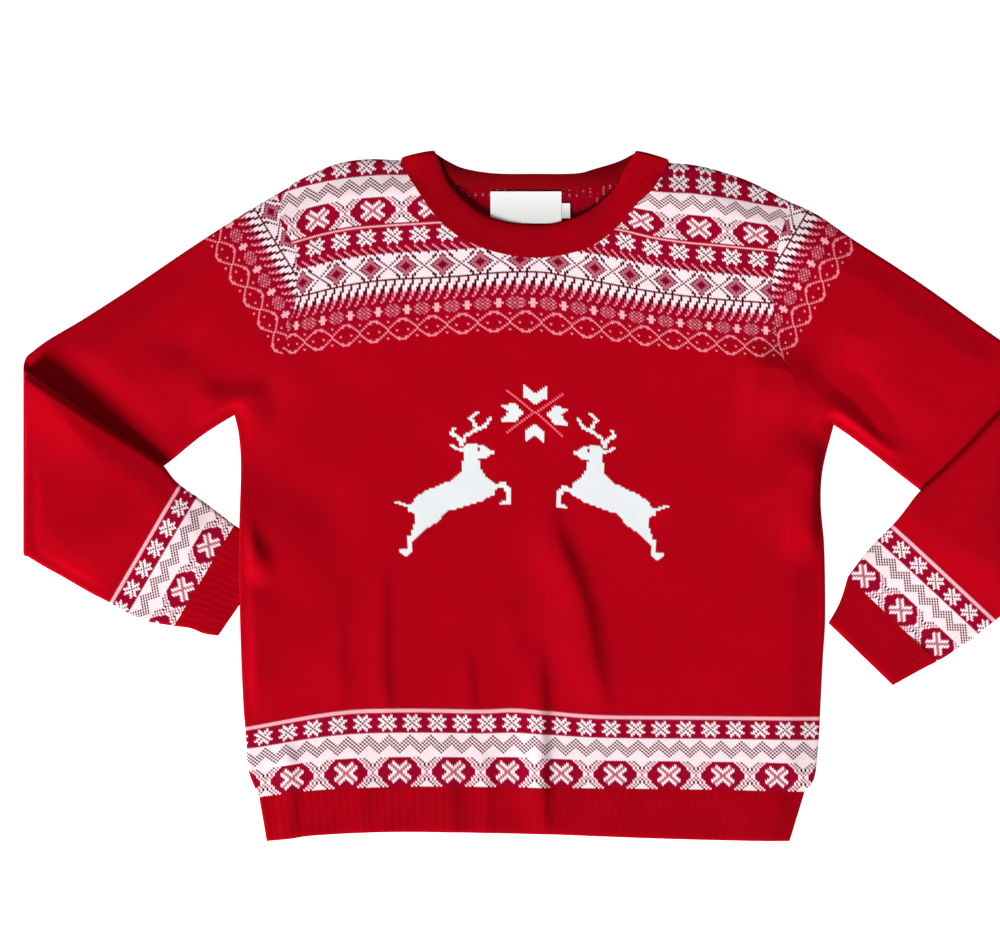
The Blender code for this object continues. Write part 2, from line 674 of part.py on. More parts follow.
def make_neck_rib():
    front = list(zip(*neck_stations(NECK_RIB_FRONT, NECK_FRONT, NECK_COLUMNS_FRONT, 1.0)))
    back = list(zip(*neck_stations(NECK_RIB_BACK, NECK_BACK, NECK_COLUMNS_BACK, -1.0)))
    left_turn = neck_turn(front[-1], back[0], -1.0)
    right_turn = neck_turn(front[0], back[-1], 1.0)[::-1]
    sections = [neck_section(*station) for station in front + left_turn + back + right_turn]
    rings = np.array(sections)
    count, around = rings.shape[:2]
    faces = []
    for ring in range(count):
        after = (ring + 1) % count
        for place in range(around):
            beside = (place + 1) % around
            faces.append((ring * around + place, ring * around + beside,
                          after * around + beside, after * around + place))
    add_object("neck_rib", rings.reshape(-1, 3), faces, "rib_red")


# ---- label -----------------------------------------------------------------------

def make_plate(name, bounds, bottom):
    """Thin woven plate on the inside of the back."""
    low_x, high_x, low_y, high_y = bounds
    xs, ys = np.linspace(low_x, high_x, 5), np.linspace(low_y, high_y, 3)
    plan = np.stack(np.meshgrid(xs, ys), axis=-1)
    sheet_solid(name, with_height(plan, bottom + LABEL_THICK), with_height(plan, bottom), "label_white")


def main():
    for old in list(bpy.data.objects):
        bpy.data.objects.remove(old, do_unlink=True)
    make_front_panel()
    make_back_panel()
    make_hem_ribs()
    for side in ("right", "left"):
        make_sleeve(side)
        make_cuff(side)
    make_neck_rib()
    make_plate("neck_label", LABEL, WALL + GAP)
    make_plate("size_tab", TAB, WALL + GAP)


main()
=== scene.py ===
"""Looks of a knitted Christmas sweater that lies flat with its sleeves folded back.

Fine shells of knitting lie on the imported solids: the same panels, tubes and neck ring,
with rounded folds, soft creases, seams and ribs. The patterns are knitted in: each
material works out wale and course from the "stitch" coordinates and looks the yarn up
in small charts. Tables are in millimetres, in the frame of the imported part.
"""

import math

import bmesh
import bpy
import numpy as np
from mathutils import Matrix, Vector


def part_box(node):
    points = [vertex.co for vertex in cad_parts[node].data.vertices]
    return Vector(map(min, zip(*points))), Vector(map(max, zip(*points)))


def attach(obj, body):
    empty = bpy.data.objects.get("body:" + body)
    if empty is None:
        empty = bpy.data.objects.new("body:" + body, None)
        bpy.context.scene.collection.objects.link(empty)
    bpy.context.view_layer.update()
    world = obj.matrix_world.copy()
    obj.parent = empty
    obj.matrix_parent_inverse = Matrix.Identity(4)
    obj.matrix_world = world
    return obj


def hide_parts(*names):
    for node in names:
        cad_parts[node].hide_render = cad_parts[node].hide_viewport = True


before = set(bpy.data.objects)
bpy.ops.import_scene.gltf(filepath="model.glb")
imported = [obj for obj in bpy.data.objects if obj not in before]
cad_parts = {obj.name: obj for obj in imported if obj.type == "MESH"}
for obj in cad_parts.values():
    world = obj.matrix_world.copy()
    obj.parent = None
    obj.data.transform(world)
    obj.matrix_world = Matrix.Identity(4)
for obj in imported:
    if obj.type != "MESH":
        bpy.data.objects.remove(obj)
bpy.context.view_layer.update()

MM = 0.001

# ---- sizes -----------------------------------------------------------------------

WALL = 1.8              # stocking-stitch knitting
RIB_WALL = 2.4          # doubled neck ribbing
GAP = 0.3               # between one piece and the next
SEAM_GAP = 0.08         # the shells come closer than the solids at their seams
MID = WALL + GAP / 2    # height of the plane between the back and the front
LOFT = 4.0              # how far the front rises off the back inside its edges
LOFT_REACH = 34.0       # how far in from an edge it is fully up
LOW_LOFT_REACH = 72.0   # inside the edges that the cloth leaves more gently
EDGE_ROUND = 3.0        # how far in from a folded edge the wall is rounded
EDGE_LEFT = 0.1         # share of the wall left at the very edge
RIB_RELIEF, NECK_RELIEF = 0.1, 0.05
HEM_RIB_PITCH, CUFF_RIB_PITCH, NECK_RIB_PITCH = 7.0, 7.0, 5.6
RIB_STEPS = 8           # points to a rib
RIB_WALES = 4           # stitches to a rib and the groove beside it
RIB_COURSES = 26        # stitches from the seam to the edge of the hem and cuffs
FIBRE_SCALE = 2600.0    # fineness of the fuzz on the yarn
COURSE = 1.74           # height of a stitch of the body
RIB_WALE = 1.75         # width of a stitch of the ribbing

SIDES = ("right", "left")       # the wearer's
# Side of the body from the hem seam up to the armpit: x, y.
SIDE = {
    "right": ((-256, -280), (-266, -255), (-268, -228), (-271, -190), (-273, -134), (-274, -78),
              (-274, -29), (-273, 27), (-275, 57), (-279, 75)),
    "left": ((251, -275), (260, -262), (264, -228), (266, -190), (268, -150), (270, -118),
             (270, -79), (269, -43), (266, -7), (268, 26), (278, 66)),
}
# Armhole seam from the shoulder tip down to the armpit: x, y.
ARMHOLE = {
    "right": ((-230, 286), (-236, 269), (-236, 255), (-223, 232), (-221, 219), (-222, 177),
              (-228, 160), (-234, 131), (-254, 102), (-279, 75)),
    "left": ((236, 274), (233, 258), (227, 237), (221, 201), (221, 180), (229, 130), (252, 98),
             (278, 66)),
}
# Shoulder fold from the armhole to the neck: x, y.
SHOULDER = {
    "right": ((-230, 286), (-220, 293), (-186, 308), (-156, 313), (-123, 312)),
    "left": ((236, 274), (205, 290), (182, 299), (152, 307), (124, 310)),
}
# Seam between body and hem ribbing, and the hem's own edge, wearer's right to left: x, y.
HEM_SEAM = ((-256, -280), (-200, -273), (-125, -270), (-50, -270), (24, -271), (107, -272),
            (182, -273), (251, -275))
HEM_EDGE = ((-249, -320.8), (-228, -318.5), (-200, -315), (-125, -312), (2, -314), (57, -316),
            (111, -318), (185, -320), (237, -320.8))
# Neck seam on the front and on the back, wearer's right to left: x, y.
NECK_FRONT = ((-123, 312), (-121, 304), (-109, 284), (-92, 260), (-72, 242), (-47, 230), (-26, 224),
              (0, 221), (27, 224), (53, 232), (75, 248), (95, 271), (109, 284), (120, 301), (124, 310))
NECK_BACK = ((-123, 312), (-102, 301), (-74, 290), (-41, 286), (0, 286), (42, 286), (75, 291),
             (103, 300), (124, 310))

# Sleeve sections from the armhole to the elbow fold. Columns: x, y of the end on the
# over-arm edge, x, y of the end on the under-arm edge, share of the armhole's bow.
UPPER_ARM = {
    "right": (
        (-230, 286, -279, 75, 1.0), (-256, 271, -294, 66, 0.75), (-290, 250, -313, 53, 0.4),
        (-328, 225, -339, 32, 0.15), (-378, 191, -374, 7, 0.0), (-420, 164, -412, -18, 0.0),
        (-452, 145, -446, -42, 0.0), (-470.8, 131, -470.8, -56, 0.0),
    ),
    "left": (
        (236, 274, 278, 66, 1.0), (262, 262, 294, 55, 0.75), (297, 238, 314, 40, 0.4),
        (333, 215, 338, 21, 0.15), (370, 190, 372, -5, 0.0), (410, 161, 412, -35, 0.0),
        (440, 140, 450, -63, 0.0), (457, 127, 471.1, -78, 0.0),
    ),
}
# Forearm sections from the elbow fold to the cuff seam. Columns: x, y of the end on
# the edge nearer the neck, x, y of the end on the edge nearer the hem.
FOREARM = {
    "right": (
        (-470.8, 116, -470.8, -56), (-440, 95, -456, -65), (-405, 71, -440, -74),
        (-372, 49, -425, -83), (-347, 31, -411, -91), (-332, 13, -399, -97),
        (-306, -6, -365, -115), (-279, -27, -335, -121),
    ),
    "left": (
        (459, 108, 471.1, -78), (433, 80, 452, -96), (403, 48, 433, -112), (378, 23, 418, -124),
        (356, 3, 408, -132), (336, -23, 399, -138), (311, -49, 384, -148), (291, -75, 374, -154),
    ),
}
# Cuff sections from its seam to its end, in the same columns.
CUFF = {
    "right": ((-279, -27, -335, -121), (-266, -35, -320, -123), (-252, -43, -307, -128),
              (-239, -50, -294, -130)),
    "left": ((291, -75, 374, -154), (286, -92, 362, -160), (281, -104, 351, -166),
             (273, -118, 333, -176)),
}
CUFF_EDGE = 0.02        # share of the cuff's width in the turn at either side
CUFF_ROUND = 0.2        # share over which its loft rises from the sides
CUFF_LOFT = (1.6, 1.1, 0.7, 0.3)    # from the seam to the end
CUFF_END_LOFT = 0.55    # share of the forearm's loft at the cuff seam
CUFF_GATHER = 60.0      # length over which the forearm flattens towards it
CUFF_SETTLE = 25.0      # length over which the forearm comes down to the surface
OUTER_ARM_X = 300       # past this, the forearm lies on the upper arm
STRAND_STEP = 2 * MID + 0.5     # height of the forearm's underside where it lies on the upper arm
COVER_MARGIN = 18.0     # the upper arm is flat this far out from under the forearm
STEP_MARGIN, STEP_FALL = 16.0, 40.0     # where the forearm leaves the upper arm, and how soon
TUCK_HEIGHT = 5.3       # rise of the body's side over the tucked cuff
TUCK_MARGIN, TUCK_FALL = 3.0, 60.0      # how far out it stays so high, and then comes down
ARM_SEAM_DEPTH, ARM_SEAM_WIDTH = 0.12, 1.6
# Of the hem and the cuffs, as shares of the depth or the width unless it is a depth in itself.
HEM_SEAM_DEPTH, HEM_SEAM_WIDTH, CUFF_SEAM_DEPTH, CUFF_SEAM_WIDTH = 0.2, 0.045, 0.15, 0.06
HEM_ROUND, HEM_LEFT, CUFF_END_ROUND, CUFF_LEFT = 0.07, 0.35, 0.1, 0.45     # rounded edges
HEM_SIDE_ROUND, HEM_SIDE_RISE, HEM_EDGE_LOFT = 0.008, 0.04, 0.75
TUBE_ROUND = 0.025
LEAST_WALL = 0.15       # between the outside and the inside of the front
BACK_CLEAR = 0.12       # by which the back's inside is lower than the solid's
CREASE_FLOOR = 0.35     # loft below which a crease dies away
PUFF_EDGE, PUFF_REACH = 7.0, 42.0       # rise and reach of the fold at the elbow, across it
PUFF_START, PUFF_LENGTH = 9.0, 115.0    # and along it
MOST_CREASE = 6.0       # height that creases may add to the loft
BODY_NECK_SPAN = (-140, 138)    # x where the lines down from the neck points reach the hem seam

# Folds in the laid cloth. Columns: width of the side on the left when walking along the
# line, width of the other side, height (negative for a trough), then points x, y.
CREASES = (
    (10, 25, 5.0, (5, 4), (11, -10), (20, -41), (35, -78), (47, -115), (53, -152), (61, -185),
     (66, -222)),
    (6, 15, 2.3, (-140, -50), (-140, -90), (-141, -150), (-138, -190), (-136, -225)),
    (8, 16, 1.6, (-183, -95), (-182, -150), (-180, -210)),
    (5, 12, 1.7, (-62, -140), (-60, -175), (-57, -215)),
    (9, 14, 1.2, (-24, -90), (-20, -125), (-15, -165)),
    (7, 17, 4.6, (1, -130), (5, -165), (6, -200), (6, -245), (7, -285), (9, -340)),
    (7, 13, 2.8, (-230, -215), (-228, -250), (-227, -285), (-226, -340)),
    (6, 14, 1.6, (-78, -225), (-77, -270), (-76, -340)),
    (5, 9, 1.4, (-45, -235), (-44, -280), (-43, -340)),
    (8, 12, 1.0, (-162, -235), (-160, -280), (-158, -340)),
    (10, 24, 6.0, (-283, -14), (-268, -41), (-257, -59), (-252, -85)),
    (24, 12, 3.4, (-258, -72), (-261, -105), (-262, -160), (-259, -215)),
    (24, 40, 6.6, (185, 119), (212, 113), (240, 104), (264, 90)),
    (18, 17, 4.6, (247, 96), (268, 85), (286, 72), (308, 52), (330, 34), (350, 18)),
    (34, 17, -4.0, (248, 126), (268, 117), (302, 95), (327, 64), (346, 34)),
    (24, 12, 1.2, (312, 122), (322, 106), (334, 82), (360, 46)),
    (12, 9, 0.9, (276, 150), (296, 148), (316, 138)),
    (7, 20, 6.5, (262, 60), (259, 20), (256, -20), (256, -65)),
    (14, 30, 4.5, (-322, 90), (-274, 89), (-240, 93)),
    (18, 18, 1.0, (-370, 118), (-330, 112), (-295, 108)),
    (16, 16, -1.2, (-375, 152), (-340, 142), (-300, 128)),
    (14, 8, 1.0, (186, -12), (215, 4), (240, 16)),
)
FOREARM_CREASES = {
    "right": ((40, 22, 3.0, (-450, 50), (-450, 0), (-444, -34), (-415, -56), (-375, -80)),),
    "left": ((12, 14, 1.2, (440, 20), (410, -30), (370, -70)),),
}
FOLD_PUFF = {"right": 13.0, "left": 8.0}    # height of the springy fold at the elbow end

# Neck ribbing, wearer's right to left on the front, then back again behind. Columns: share
# of the seam, height there, x, y, height at the free edge. Heights are of the wall's middle.
NECK_RIB_FRONT = (
    (0.0, 4.7, -92, 318.6, 4.7), (0.025, 4.7, -88, 311, 4.7), (0.095, 4.8, -80, 292, 4.7),
    (0.185, 5.0, -66, 276, 4.6), (0.268, 5.2, -49, 263, 4.6), (0.352, 5.4, -33, 257, 4.6),
    (0.42, 5.5, -18, 254, 4.6), (0.5, 5.5, 3, 252.5, 4.6), (0.578, 5.4, 22, 254.5, 4.6),
    (0.66, 5.2, 46, 263, 4.6), (0.744, 5.0, 64, 276, 4.6), (0.835, 4.8, 77, 290, 4.7),
    (0.89, 4.7, 82, 301, 4.7), (0.96, 4.7, 88, 311, 4.7), (1.0, 4.7, 93, 318.6, 4.7),
)
NECK_RIB_BACK = (
    (1.0, 1.75, 93, 318.6, 1.75), (0.91, 1.75, 78, 311, 1.9), (0.8, 1.8, 56, 304, 4.0),
    (0.66, 1.9, 38, 299.5, 6.6), (0.5, 1.9, 0, 299, 7.6), (0.34, 1.9, -36, 299.5, 6.6),
    (0.2, 1.8, -64, 304, 4.0), (0.09, 1.75, -80, 311, 1.9), (0.0, 1.75, -92, 318.6, 1.75),
)
NECK_TURN_ANGLES = (67.5, 45, 22.5, 0, -22.5, -45, -67.5)
BACK_RIB_WALL = 0.62    # share of the outer half's thickness left on the back half
# Places across the strip. Columns: share of the width, share of the half-thickness, ribbed share.
NECK_ACROSS = (
    (0.0, 0.7, 0.3), (0.015, 0.9, 0.6), (0.05, 1.1, 1.0), (0.12, 1.3, 1.0), (0.25, 1.5, 1.0),
    (0.45, 1.7, 1.0), (0.65, 1.7, 1.0), (0.82, 1.5, 1.0), (0.92, 1.2, 1.0), (0.97, 0.8, 0.9),
    (0.995, 0.3, 0.7), (1.0, -0.2, 0.5), (0.985, -0.7, 0.3), (0.94, -1.0, 0.2), (0.5, -1.0, 0.0),
    (0.06, -1.0, 0.0), (-0.035, -0.75, 0.0), (0.0, -0.15, 0.0),
)

LABEL = (-41, 25, 253.2, 283)
TAB = (25.3, 33, 258, 272)
LABEL_THICK = 0.5
LABEL_LIFT = 2.2        # how far the lower edges of the label and tab stand off

# Lines along which the courses of the body run: x, y. The course of each is in COURSE_LINES.
HEM_BAND_TOP = ((-275, -215), (-186, -199), (-125, -196), (-50, -197), (-13, -196), (57, -202),
                (150, -203), (275, -204))
YOKE_EDGE = ((-285, 126), (-232, 131), (-205, 134), (-178, 138), (-150, 141.5), (-122, 144.6),
             (-94, 147.9), (-68, 149.9), (-38, 151.5), (-11, 151.5), (16, 149.7), (44, 146.6),
             (73, 143.5), (100, 139.5), (128, 136), (158, 133.3), (188, 130), (219, 128), (285, 121))
DARK_LINE = ((-290, 172), (-222, 183), (-190, 190.7), (-160, 196.5), (-130, 199.7), (-97, 201),
             (-69, 202.7), (-30, 206.2), (5, 206.5), (29, 202.8), (61, 197), (96, 190.5),
             (132, 185.2), (168, 181.4), (215, 178), (290, 172))
PALE_LINE = ((-290, 214), (-220, 235), (-192, 242.5), (-167, 247), (-140, 249.4), (-106, 251.5),
             (-20, 256), (40, 252), (79, 246), (108, 239), (138, 234.3), (168, 231.5), (203, 228.2),
             (225, 226), (290, 217))
WHITE_TOP = ((-290, 262), (-231, 282), (-205, 289), (-178, 294), (-146, 297.2), (-119, 297.5),
             (-40, 298), (40, 292), (110, 282), (146, 280), (185, 274.8), (212, 269.6), (238, 265.5),
             (290, 255))
YOKE_COURSE = 243
COURSE_LINES = ((HEM_SEAM, 0), (HEM_BAND_TOP, 43), (YOKE_EDGE, YOKE_COURSE),
                (DARK_LINE, YOKE_COURSE + 33), (PALE_LINE, YOKE_COURSE + 63),
                (WHITE_TOP, YOKE_COURSE + 94))
# Wales of the body. Rows: wale, x at the hem, x at the yoke.
WALES = (
    (-140, -285.5, -287), (-96, -201.0, -216.2), (-80, -170.2, -184.7), (-64, -139.5, -153.3),
    (-48, -108.8, -120.4), (-32, -78.0, -86.5), (-16, -47.3, -51.6), (0, -16.5, -14.8),
    (16, 14.2, 20.8), (32, 44.9, 55.0), (48, 75.7, 87.3), (64, 106.4, 120.6), (80, 137.2, 153.8),
    (96, 167.9, 185.8), (146, 264.0, 288),
)
YOKE_LEVEL, HEM_LEVEL = 130, -200

# Knitting directions of the sleeves. Columns: point and wale on the cap's dark line, direction
# along the courses, and the same for the cuff seam; courses in millimetres.
SLEEVE_GRAIN = {
    "right": {"cap": (-252.5, 252.4), "cap_mark": (-246.6, 264.1, -16), "cap_run": (0.53, -0.848),
              "cuff": (-279.5, -27.0), "cuff_mark": (-343.6, -28.8, 22), "cuff_run": (-0.51, -0.86),
              "cap_wale": 1.9, "cuff_wale": 1.83, "cuff_course": 1.54, "cuff_start": 1.7},
    "left": {"cap": (254.1, 262.3), "cap_mark": (236.7, 245.5, -16), "cap_run": (-0.52, -0.854),
             "cuff": (290.6, -75.3), "cuff_mark": (357.6, -61.4, 9), "cuff_run": (0.735, -0.678),
             "cap_wale": 1.9, "cuff_wale": 1.79, "cuff_course": 1.563, "cuff_start": 1.3},
}
CAP_BAND = 53.6         # depth of the cap's pattern outside its dark line
CAP_COURSE = 270        # course of the outer edge of the cap's pattern


# ---- small geometry helpers ------------------------------------------------------

def smooth(share):
    """Ease from 0 to 1 as share goes from 0 to 1."""
    share = np.clip(share, 0.0, 1.0)
    return share * share * (3.0 - 2.0 * share)


def curve_through(points, steps=10):
    """Dense smooth line through the points (Catmull-Rom)."""
    points = np.array(points, float)
    ends = np.vstack((2 * points[0] - points[1], points, 2 * points[-1] - points[-2]))
    line = []
    for before, start, end, after in zip(ends, ends[1:], ends[2:], ends[3:]):
        for step in range(steps):
            t = step / steps
            line.append(0.5 * (2 * start + (end - before) * t
                               + (2 * before - 5 * start + 4 * end - after) * t * t
                               + (3 * start - before - 3 * end + after) * t ** 3))
    line.append(points[-1])
    return np.array(line)


def travel_along(line):
    """Distance from the line's start at each of its points."""
    return np.concatenate(([0.0], np.cumsum(np.linalg.norm(np.diff(line, axis=0), axis=1))))


def along(line, shares):
    """Points at the given shares of a line's length in plan."""
    length = travel_along(line[:, :2])
    at = np.asarray(shares) * length[-1]
    return np.stack([np.interp(at, length, line[:, axis]) for axis in range(line.shape[1])], axis=1)


def length_of(line):
    return float(travel_along(line)[-1])


def distance_to(points, line):
    """Distance in plan from each point to a line of straight pieces."""
    points = np.asarray(points, float)[..., :2]
    best = np.full(points.shape[:-1], 1e9)
    for start, end in zip(line[:-1, :2], line[1:, :2]):
        run = end - start
        share = ((points - start) @ run) / (run @ run)
        nearest = start + np.clip(share, 0, 1)[..., None] * run
        best = np.minimum(best, np.linalg.norm(points - nearest, axis=-1))
    return best


def nearest_on(points, line):
    """Distance in plan to a line, the share of its length at the nearest place, and the side."""
    points = np.asarray(points, float)[..., :2]
    best, share = np.full(points.shape[:-1], 1e9), np.zeros(points.shape[:-1])
    right = np.zeros(points.shape[:-1], bool)
    steps = np.linalg.norm(np.diff(line, axis=0), axis=1)
    before = 0.0
    for start, end, long in zip(line, line[1:], steps):
        run = end - start
        at = np.clip(((points - start) @ run) / (run @ run), 0, 1)
        off = points - start - at[..., None] * run
        away = np.linalg.norm(off, axis=-1)
        share = np.where(away < best, (before + at * long) / steps.sum(), share)
        right = np.where(away < best, off[..., 0] * run[1] - off[..., 1] * run[0] > 0, right)
        best = np.minimum(best, away)
        before += long
    return best, share, right


def side_of(points, start, end):
    """Signed distance in plan from the line start-end, positive on its right."""
    run = np.array(end, float) - np.array(start, float)
    off = np.asarray(points, float)[..., :2] - np.array(start, float)
    return (off[..., 0] * run[1] - off[..., 1] * run[0]) / np.linalg.norm(run)


def lerp(start, end, share):
    return start + (end - start) * share


def with_height(plan, height):
    return np.concatenate((plan, np.broadcast_to(height, plan.shape[:-1])[..., None]), axis=-1)


def placed(name, data):
    """New object in the scene."""
    made = bpy.data.objects.new(name, data)
    bpy.context.scene.collection.objects.link(made)
    return made


# ---- the form of the laid cloth --------------------------------------------------

def ends_of(sections, which):
    return np.array([row[which:which + 2] for row in sections], float)


# Edges inside which the front rises: side, shoulder, over the arm, under it, elbow fold.
EDGES = {
    side: (curve_through(SIDE[side], 4), curve_through(SHOULDER[side], 4), ends_of(UPPER_ARM[side], 0),
           ends_of(UPPER_ARM[side], 2), np.array(UPPER_ARM[side][-1][:4], float).reshape(2, 2))
    for side in SIDES
}
GENTLE_EDGES = {"right": (0, 3), "left": (3,)}
ARM_SEAMS = {side: curve_through(ARMHOLE[side], 4) for side in SIDES}


def inside_of_fold(points, side, start, end):
    """Signed distance in plan from a line of the sleeve, positive towards the neck."""
    away = side_of(points, start, end)
    return -away if side == "right" else away


def unevenness(points, size=1.0):
    """Soft hand-laid waviness of the cloth, a few tenths of a millimetre high."""
    x, y = points[..., 0], points[..., 1]
    return size * (0.34 * np.sin(x / 31 + 1.1 * np.sin(y / 67 + 0.4)) * np.sin(y / 43 + 0.8)
                   + 0.22 * np.sin(x / 17 - y / 29 + 1.7) * np.sin(y / 61 + x / 83)
                   + 0.16 * np.sin(x / 11 + y / 13 + 0.5) * np.sin(x / 53 - y / 37 + 2.2))


def rounded(distance, reach):
    """Rise of a rounded edge: 0 at the edge, 1 from reach on."""
    return np.sqrt(1.0 - (1.0 - np.clip(distance / reach, 0.0, 1.0)) ** 2)


def wall_share(distance, reach, left):
    """Share of the wall's thickness beside a rounded edge at which some is left."""
    return left + (1.0 - left) * rounded(distance, reach)


def bell(distance, width):
    """1 on a line, dying away at both sides of it."""
    return np.exp(-(distance / width) ** 2)


def creased(points, rise, table):
    """Folds pressed into the cloth: each line has a soft side and a steep side."""
    edge = smooth(rise / CREASE_FLOOR)
    for left_width, right_width, height, *line in table:
        near, share, right = nearest_on(points, curve_through(line, 6))
        fade = smooth(3.0 * np.minimum(share, 1 - share) + 0.05)
        width = np.where(right, right_width, left_width)
        rise = rise + height * fade * edge * bell(near, width)
    return rise


def body_loft(points):
    """Rise of the front wall above the back wall, on the body and the upper arms."""
    points = np.asarray(points, float)
    rise = np.full(points.shape[:-1], LOFT)
    for side in SIDES:
        for number, line in enumerate(EDGES[side]):
            reach = LOW_LOFT_REACH if number in GENTLE_EDGES[side] else LOFT_REACH
            rise = np.minimum(rise, LOFT * smooth(distance_to(points, line) / reach))
        edge = ends_of(FOREARM[side], 0)
        above = -inside_of_fold(points, side, edge[4], edge[0])
        covered = np.abs(points[..., 0]) > OUTER_ARM_X
        rise = np.where(covered, rise * smooth((above - COVER_MARGIN) / LOFT_REACH), rise)
    rise = creased(points, rise, CREASES)
    rise = rise + unevenness(points) * smooth(1.5 * rise / LOFT)
    return np.clip(rise, 0.0, LOFT + MOST_CREASE)


def seam_valley(points):
    """Depth of the valley at the armhole seams."""
    near = np.min([distance_to(points, line) for line in ARM_SEAMS.values()], axis=0)
    return ARM_SEAM_DEPTH * bell(near, ARM_SEAM_WIDTH)


def forearm_loft(points, side):
    """Rise of the forearm's upper wall over its lower one, with the springy fold by the elbow."""
    near, far = ends_of(FOREARM[side], 0), ends_of(FOREARM[side], 2)
    outer = np.min([distance_to(points, line) for line in (far, np.array((near[0], far[0])))], axis=0)
    close = np.minimum(distance_to(points, near), outer * LOFT_REACH / LOW_LOFT_REACH)
    seam = np.array(FOREARM[side][-1], float).reshape(2, 2)
    cuff = distance_to(points, seam)
    rise = LOFT * smooth(close / LOFT_REACH) * lerp(CUFF_END_LOFT, 1.0, smooth(cuff / CUFF_GATHER))
    rise = creased(points, rise, FOREARM_CREASES[side])
    rise = rise + unevenness(points, 1.2) * smooth(1.5 * rise / LOFT)
    off, travelled, _ = nearest_on(points, near)
    travelled = travelled * length_of(near)
    puff = rounded(off, PUFF_EDGE) * bell(off, PUFF_REACH) * rounded(travelled, PUFF_START)
    return rise + FOLD_PUFF[side] * puff * bell(travelled, PUFF_LENGTH)


def forearm_base(points, side):
    """Height of the forearm's underside: on the upper arm, then down to the surface."""
    under = ends_of(UPPER_ARM[side], 2)
    past = inside_of_fold(points, side, under[3], under[-1])
    near_cuff = distance_to(points, np.array(FOREARM[side][-1], float).reshape(2, 2))
    return STRAND_STEP * (1.0 - smooth((past - STEP_MARGIN) / STEP_FALL)) * smooth(near_cuff / CUFF_SETTLE)


def tuck_rise(points):
    """Rise of the body where the wearer's right cuff lies under it."""
    first, last = np.array(CUFF["right"][0], float), np.array(CUFF["right"][-1], float)
    ring = np.array((first[:2], last[:2], last[2:], first[2:], first[:2]))
    inside = np.ones(np.asarray(points).shape[:-1], bool)
    for start, end in zip(ring, ring[1:]):
        inside &= side_of(points, start, end) > 0
    away = np.where(inside, 0.0, distance_to(points, ring))
    return TUCK_HEIGHT * (1.0 - smooth((away - TUCK_MARGIN) / TUCK_FALL))


def fullness(points):
    """Share of the wall's half-height left near the body's folded edges."""
    near = np.min([distance_to(points, line) for side in SIDES for line in EDGES[side][:2]], axis=0)
    return wall_share(near, EDGE_ROUND, EDGE_LEFT)


# ---- wales and courses -----------------------------------------------------------

def body_stitches(points):
    """Wale and course at places of the body."""
    x, y = points[..., 0], points[..., 1]
    marks, at_hem, at_yoke = np.array(WALES, float).T
    share = np.clip((y - HEM_LEVEL) / (YOKE_LEVEL - HEM_LEVEL), 0, 1)
    wale = lerp(np.interp(x, at_hem, marks), np.interp(x, at_yoke, marks), smooth(share))
    levels = [np.interp(x, *curve_through(line, 4).T) for line, course in COURSE_LINES]
    courses = [course for line, course in COURSE_LINES]
    levels.append(levels[-1] + 60.0)
    courses.append(courses[-1] + 60.0 / COURSE)
    course = (y - levels[0]) / COURSE
    for low, high, start, end in zip(levels, levels[1:], courses, courses[1:]):
        inside = y >= low
        course = np.where(inside, start + (end - start) * (y - low) / (high - low), course)
    return np.stack((wale, course), axis=-1)


def cap_stitches(points, side):
    """Wale and course on the upper arm."""
    grain = SLEEVE_GRAIN[side]
    run = np.array(grain["cap_run"])
    out = np.array((-run[1], run[0])) if side == "left" else np.array((run[1], -run[0]))
    away = (points - np.array(grain["cap"])) @ out
    mark = grain["cap_mark"]
    wale = mark[2] + ((points - np.array(mark[:2])) @ run) / grain["cap_wale"]
    band = CAP_COURSE + 33 * (1 - away / CAP_BAND)
    course = np.where(away > CAP_BAND, CAP_COURSE - (away - CAP_BAND) / COURSE, band)
    return np.stack((wale, course), axis=-1)


def forearm_stitches(points, side):
    """Wale and course on the forearm, counted from the cuff seam."""
    grain = SLEEVE_GRAIN[side]
    run = np.array(grain["cuff_run"])
    back = np.array((run[1], -run[0])) if side == "right" else np.array((-run[1], run[0]))
    mark = grain["cuff_mark"]
    wale = mark[2] + ((points - np.array(mark[:2])) @ run) / grain["cuff_wale"]
    course = grain["cuff_start"] + ((points - np.array(grain["cuff"])) @ back) / grain["cuff_course"]
    return np.stack((wale, course), axis=-1)


# ---- meshes ----------------------------------------------------------------------

def grid_faces(rows, columns, wrap, start, patch):
    """Quads of a grid of points and, for each corner, its place in a patch of the unit square."""
    across = columns if wrap else columns - 1
    row, column = np.meshgrid(np.arange(rows - 1), np.arange(across), indexing="ij")
    row, column = row.ravel(), column.ravel()
    corners = ((row, column), (row, column + 1), (row + 1, column + 1), (row + 1, column))
    faces = np.stack([start + r * columns + c % columns for r, c in corners], axis=1)
    low_x, high_x, low_y, high_y = patch
    places = np.stack([np.stack((lerp(low_x, high_x, c / across), lerp(low_y, high_y, r / (rows - 1))),
                                axis=-1) for r, c in corners], axis=1)
    return faces, places


